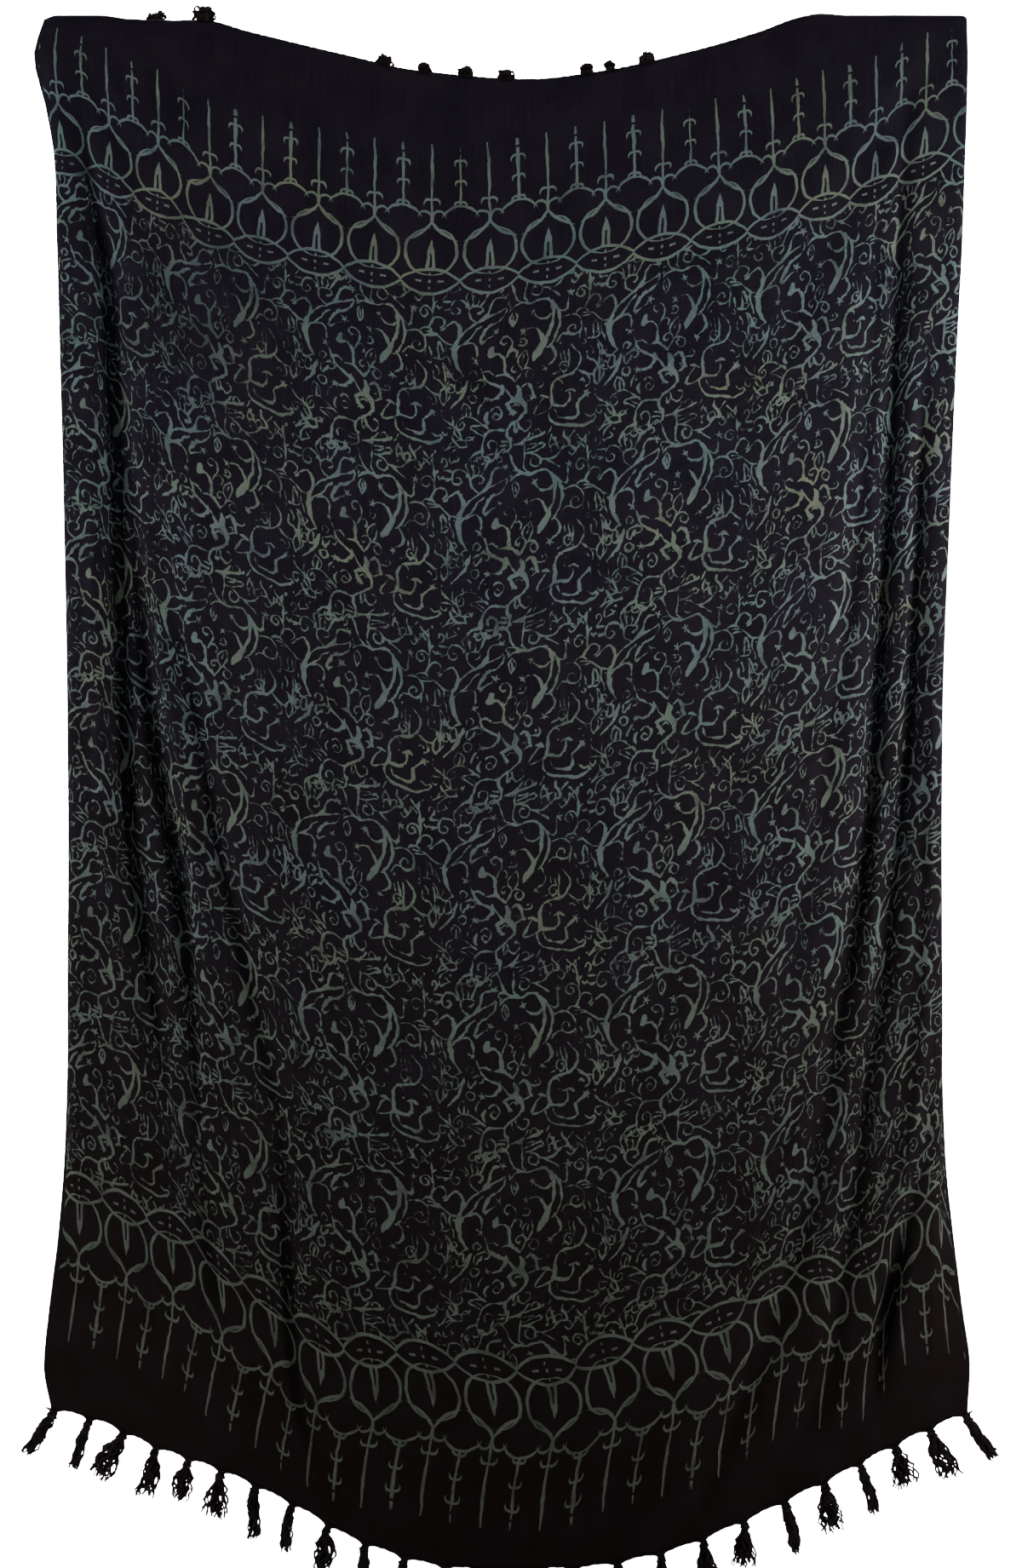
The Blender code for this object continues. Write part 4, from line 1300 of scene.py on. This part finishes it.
# The worn paleness is painted weaker towards the hem, as part of the painted shade there.
WORN_LESS_IN_HEM_SHADE = (-0.35, 0.5)
# Where on the cloth's noise the blue and the fading are read, apart from the others.
BLUE_APART = (400.0, 900.0, 0.0)
FADE_APART = (900.0, 300.0, 0.0)


def new_material(name):
    made = bpy.data.materials.new(name)
    made.use_nodes = True
    return made, made.node_tree, made.node_tree.nodes["Principled BSDF"]


def stamped_line(across, tips):
    """How far from the cloth's end the border was stamped, all the way across."""
    steps = across.tree.nodes.new("ShaderNodeFloatCurve")
    curve = steps.mapping.curves[0]
    spots = [((k + 0.5) / len(tips), (tip - TIP_BASE) / TIP_RANGE) for k, tip in enumerate(tips)]
    curve.points[0].location, curve.points[-1].location = spots[0], spots[-1]
    for place, height in spots[1:-1]:
        curve.points.new(place, height)
    steps.mapping.update()
    across.tree.links.new((across * (1 / CLOTH_WIDTH)).socket, steps.inputs["Value"])
    return Wire(across.tree, steps.outputs[0]).scaled(TIP_RANGE, TIP_BASE)


def border_wax(across, down, top_line):
    """The wax of the border, the same way out from both ends, and where the field begins beyond it."""
    at_hem = down > CLOTH_LENGTH / 2
    from_end = down.or_less(CLOTH_LENGTH - down)
    number = (across / DOME_PITCH).maths("FLOOR", across / DOME_PITCH)
    u = across - (number + 0.5) * DOME_PITCH
    step = (number + at_hem * HEM_STEPS).scaled(1.0, 0.5)
    chance = step.node("ShaderNodeTexWhiteNoise", {"noise_dimensions": "1D"}, {"W": step})
    line = top_line + at_hem * (stamped_line(across, HEM_TIPS) - top_line)
    y = (from_end - line) * at_hem.scaled(HEM_SQUEEZE - 1, 1.0)
    u = u + (chance - 0.5) * DOME_LEAN * y
    side = u.maths("ABSOLUTE", u)
    spot = side.node("ShaderNodeCombineXYZ", {}, {0: side, 1: y})
    dome, keyhole = Print(spot), Print(spot)
    for row in DOME_TAPERS:
        dome.taper(*row)
    keyhole.taper(*KEYHOLE)
    dome.ink = dome.ink - keyhole.ink
    for row in DOME_ARCS:
        dome.arc(*row)
    branch_spot = side.node("ShaderNodeCombineXYZ", {}, {0: DOME_PITCH / 2 - side, 1: y})
    branch = Print(branch_spot, dome.ink)
    for row in BRANCH_TAPERS:
        branch.taper(*row)
    for row in BRANCH_ARCS:
        branch.arc(*row)
    lens_x, lens_y, lens_radius = arc_of(*DOME_ARCS[-1][:5])[:3]
    in_field = (y > FIELD_FROM) * (spot.distance(lens_x, lens_y) > lens_radius + FIELD_CLEAR)
    return branch.ink, in_field


def field_wax(flat, across, down, top_line):
    """The wax of the repeating block, stamped unevenly by hand."""
    spread = flat.noise(1 / SPREAD_WAVE, 1.0).scaled(*SPREAD_RANGE)
    heavy = spread + flat.noise(1 / HEAVY_WAVE, 1.0).scaled(*HEAVY_RANGE)
    place = {0: across - BLOCK_START[0], 1: down - top_line - BLOCK_START[1]}
    spot = across.node("ShaderNodeCombineXYZ", {}, place).vector("ADD", flat.wander(*STAMP_DRIFT))
    spot = spot.vector("WRAP", (*BLOCK, 1.0), (0.0, 0.0, -1.0))
    return (depth_in_strokes(spot, field_block()) + heavy).scaled(WAX_EDGE, WAX_AT_EDGE).clamped()


def printed_rayon():
    made, tree, shader = new_material("Printed rayon")
    flat_map = Wire(tree, None).node("ShaderNodeUVMap", {"uv_map": FLAT_MAP})
    flat = flat_map.vector("MULTIPLY_ADD", (CLOTH_WIDTH, -CLOTH_LENGTH, 0.0), (0.0, CLOTH_LENGTH, 0.0))
    across, down, _ = flat.vector("ADD", flat.wander(*HAND_TREMBLE, 1.0)).parts()
    top_line = stamped_line(across, TOP_TIPS)
    border, in_field = border_wax(across, down, top_line)
    selvedge = (across - CLOTH_WIDTH / 2).within(0.0, CLOTH_WIDTH / 2 - BARE_SELVEDGE)
    ink = border.or_more(field_wax(flat, across, down, top_line) * in_field) * selvedge

    # Wax takes unevenly, and the print is fainter around one spot.
    patches = flat.noise(1 / PATCH_WAVE, 2.0)
    grain = flat.noise(1 / GRAIN_WAVE, 1.0)
    fainter = (flat.distance(*FAINT_PRINT) / FAINT_PRINT_REACH).scaled(*FAINT_PRINT_RANGE).clamped()
    takes = (patches * PATCHES_SHARE + grain * GRAIN_SHARE).scaled(*WAX_TAKES).clamped()
    ink = ink * (takes * fainter)

    # The dye drifts over the wax. Towards the hem the colours brown, and they darken as painted shade.
    olive = flat.noise(1 / OLIVE_WAVE, 2.0).scaled(*OLIVE_RANGE).clamped()
    blue = flat.vector("ADD", BLUE_APART).noise(1 / BLUE_WAVE, 2.0).scaled(*BLUE_RANGE).clamped()
    hem_shade_and_brown = (down / CLOTH_LENGTH).scaled(*HEM_SHADE_AND_BROWN_RANGE).clamped()
    wax = blue.blended(olive.blended(WAX_TEAL, WAX_OLIVE), WAX_BLUE)
    wax = hem_shade_and_brown.blended(wax, WAX_LOW_SHADED)
    ground = hem_shade_and_brown.blended(GROUND_PLUM, GROUND_BROWN_SHADED)

    # The weave, which has worn paler; towards the hem that paleness gives way to painted shade.
    threads = flat.noise(1 / THREAD_WAVE, 1.0, down=THREAD_STRETCH)
    slubs = flat.noise(1 / SLUB_WAVE, 1.0, across=SLUB_STRETCH)
    faded = flat.vector("ADD", FADE_APART).noise(1 / FADE_WAVE, 3.0)
    worn = threads * THREADS_SHARE + slubs * SLUBS_SHARE + faded * FADED_SHARE
    worn = worn.scaled(*WORN_RANGE).clamped()
    ground = (worn * hem_shade_and_brown.scaled(*WORN_LESS_IN_HEM_SHADE)).blended(ground, GROUND_WORN)
    tree.links.new(ink.blended(ground, wax).socket, shader.inputs["Base Color"])
    height = threads * THREADS_STAND + slubs * SLUBS_STAND
    weave = {"Strength": WEAVE_STRENGTH, "Distance": WEAVE_HEIGHT, "Height": height}
    tree.links.new(height.node("ShaderNodeBump", {}, weave).socket, shader.inputs["Normal"])
    roughness = (ink * WAX_ROUGHER + worn * WORN_ROUGHER).scaled(1.0, CLOTH_ROUGHNESS)
    tree.links.new(roughness.socket, shader.inputs["Roughness"])
    shader.inputs["Specular IOR Level"].default_value = 0.0
    return made


YARN_DARK = (0.0022, 0.0015, 0.0016, 1.0)
YARN_DUSTY = (0.0065, 0.0050, 0.0050, 1.0)
FIBRE_SCALE = 900.0
DUST_SCALE = 70.0
FIBRES_SHARE, DUST_SHARE = 0.8, 0.7
DUST_RANGE = (1.6, -0.75)
FIBRE_STRENGTH = 0.4
FIBRE_HEIGHT = 0.0004
YARN_ROUGHNESS = 0.85


def fringe_yarn():
    made, tree, shader = new_material("Fringe yarn")
    place = Wire(tree, None).node("ShaderNodeTexCoord", out=3)
    fibres = place.node("ShaderNodeTexNoise", {}, {"Vector": place, "Scale": FIBRE_SCALE, "Detail": 2.0})
    patches = place.node("ShaderNodeTexNoise", {}, {"Vector": place, "Scale": DUST_SCALE, "Detail": 1.0})
    dusty = (fibres * FIBRES_SHARE + patches * DUST_SHARE).scaled(*DUST_RANGE).clamped()
    tree.links.new(dusty.blended(YARN_DARK, YARN_DUSTY).socket, shader.inputs["Base Color"])
    fuzz = {"Strength": FIBRE_STRENGTH, "Distance": FIBRE_HEIGHT, "Height": fibres}
    tree.links.new(fibres.node("ShaderNodeBump", {}, fuzz).socket, shader.inputs["Normal"])
    shader.inputs["Roughness"].default_value = YARN_ROUGHNESS
    shader.inputs["Specular IOR Level"].default_value = 0.0
    return made


def plain(name, colour, roughness):
    made, _, shader = new_material(name)
    shader.inputs["Base Color"].default_value = (*colour, 1.0)
    shader.inputs["Roughness"].default_value = roughness
    return made


# ----------------------------------------------------------------------------------------------------
# The pieces

hem_roots = tassel_places(HEM_TASSELS, HEM_STRAY)
top_roots = tassel_places(TOP_TASSELS, TOP_STRAY)
rows, flat = hung_rows(hem_roots)
cloth_places = flat[0, :, 0]
cloth = cloth_shell(rows, flat)
cloth.data.materials.clear()
cloth.data.materials.append(printed_rayon())

yarn = fringe_yarn()
hem_edge = Edge(cloth_places, rows[-1], rows[-2])
top_edge = Edge(cloth_places, rows[0], rows[1])
hem_fringe = fringe("hem_fringe", hem_edge, hem_roots, hem_hang, hanging_start, HANGING_BUNCH, yarn)
top_fringe = fringe("top_fringe", top_edge, top_roots, back_hang, looped_start, LOOPED_BUNCH, yarn)

for piece, node, slot in (
    (cloth, "cloth_panel", "printed_rayon"),
    (hem_fringe, "fringe_bottom", "fringe_yarn"),
    (top_fringe, "fringe_top", "fringe_yarn"),
):
    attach(piece, "root")
    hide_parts(node)

# ----------------------------------------------------------------------------------------------------
# Studio

FLOOR_DROP = 1800.0
WALL_BEHIND = 9800.0
STUDIO_HALF_WIDTH = 5000.0
STUDIO_HEIGHT = 4200.0
STUDIO_FRONT = 5200.0
SWEEP_RADIUS = 900.0
SWEEP_STEPS = 24
PAPER = (0.86, 0.86, 0.86)
PAPER_ROUGHNESS = 0.9
AIR_COLOUR = (0.95, 0.97, 1.0, 1.0)
AIR_STRENGTH = 0.14


def studio_sweep():
    """A pale floor that sweeps up into a pale wall."""
    nothing_selected()
    bpy.ops.mesh.primitive_plane_add(size=2)
    sweep = bpy.context.object
    sweep.name = "studio_sweep"
    sweep.scale = (STUDIO_HALF_WIDTH * MM, (STUDIO_FRONT + WALL_BEHIND) / 2 * MM, 1)
    sweep.location = (0, (WALL_BEHIND - STUDIO_FRONT) / 2 * MM, -FLOOR_DROP * MM)
    bpy.ops.object.transform_apply(location=True, rotation=True, scale=True)
    bpy.ops.object.mode_set(mode="EDIT")
    bpy.ops.mesh.select_all(action="DESELECT")
    bpy.ops.object.mode_set(mode="OBJECT")
    for edge in sweep.data.edges:
        edge.select = all(sweep.data.vertices[v].co.y > 0 for v in edge.vertices)
    bpy.ops.object.mode_set(mode="EDIT")
    bpy.ops.mesh.select_mode(type="EDGE")
    bpy.ops.mesh.extrude_region_move(TRANSFORM_OT_translate={"value": (0, 0, STUDIO_HEIGHT * MM)})
    bpy.ops.object.mode_set(mode="OBJECT")
    bend = sweep.modifiers.new("Sweep", "BEVEL")
    bend.width = SWEEP_RADIUS * MM
    bend.segments = SWEEP_STEPS
    bpy.ops.object.modifier_apply(modifier=bend.name)
    bpy.ops.object.shade_smooth()
    sweep.data.materials.append(plain("Studio paint", PAPER, PAPER_ROUGHNESS))


def soft_light(name, place, aim, size, power, spread=180):
    """A wide lamp, in metres, watts and degrees."""
    lamp = bpy.data.lights.new(name, "AREA")
    lamp.shape = "RECTANGLE"
    lamp.size, lamp.size_y = size
    lamp.energy = power
    lamp.spread = math.radians(spread)
    holder = bpy.data.objects.new(name, lamp)
    bpy.context.scene.collection.objects.link(holder)
    holder.visible_camera = False
    holder.location = place
    holder.rotation_euler = (Vector(aim) - Vector(place)).to_track_quat("-Z", "Y").to_euler()


CAMERA_DISTANCE = 4300.0
FRAME_CENTRE_DROP = 848.0
FRAME_HEIGHT = 1728.7


def camera():
    lens = bpy.data.cameras.new("Camera")
    lens.lens = lens.sensor_width * CAMERA_DISTANCE / FRAME_HEIGHT
    lens.dof.use_dof = False
    holder = bpy.data.objects.new("Camera", lens)
    bpy.context.scene.collection.objects.link(holder)
    holder.location = (0, -CAMERA_DISTANCE * MM, -FRAME_CENTRE_DROP * MM)
    holder.rotation_euler = (math.pi / 2, 0, 0)
    bpy.context.scene.camera = holder


studio_sweep()
soft_light("Left light", (-1.5, -0.6, -0.6), (-0.35, 0, -0.6), (0.6, 0.8), 25, spread=120)
soft_light("Right light", (1.35, -0.6, -0.64), (0.4, 0, -0.64), (0.6, 0.8), 37, spread=120)
soft_light("Front light", (-0.4, -3.4, 1.0), (0, 0, -0.5), (2.4, 1.6), 66)
soft_light("Wall light", (0, 8.0, 2.6), (0, 9.8, -0.4), (5.0, 0.6), 3300, spread=110)
soft_light("Floor light", (0, 3.9, 2.8), (0, 3.9, -1.8), (2.4, 6.2), 3900, spread=70)
camera()
sky = bpy.data.worlds.new("Studio air")
sky.use_nodes = True
air = sky.node_tree.nodes["Background"]
air.inputs["Color"].default_value = AIR_COLOUR
air.inputs["Strength"].default_value = AIR_STRENGTH
bpy.context.scene.world = sky
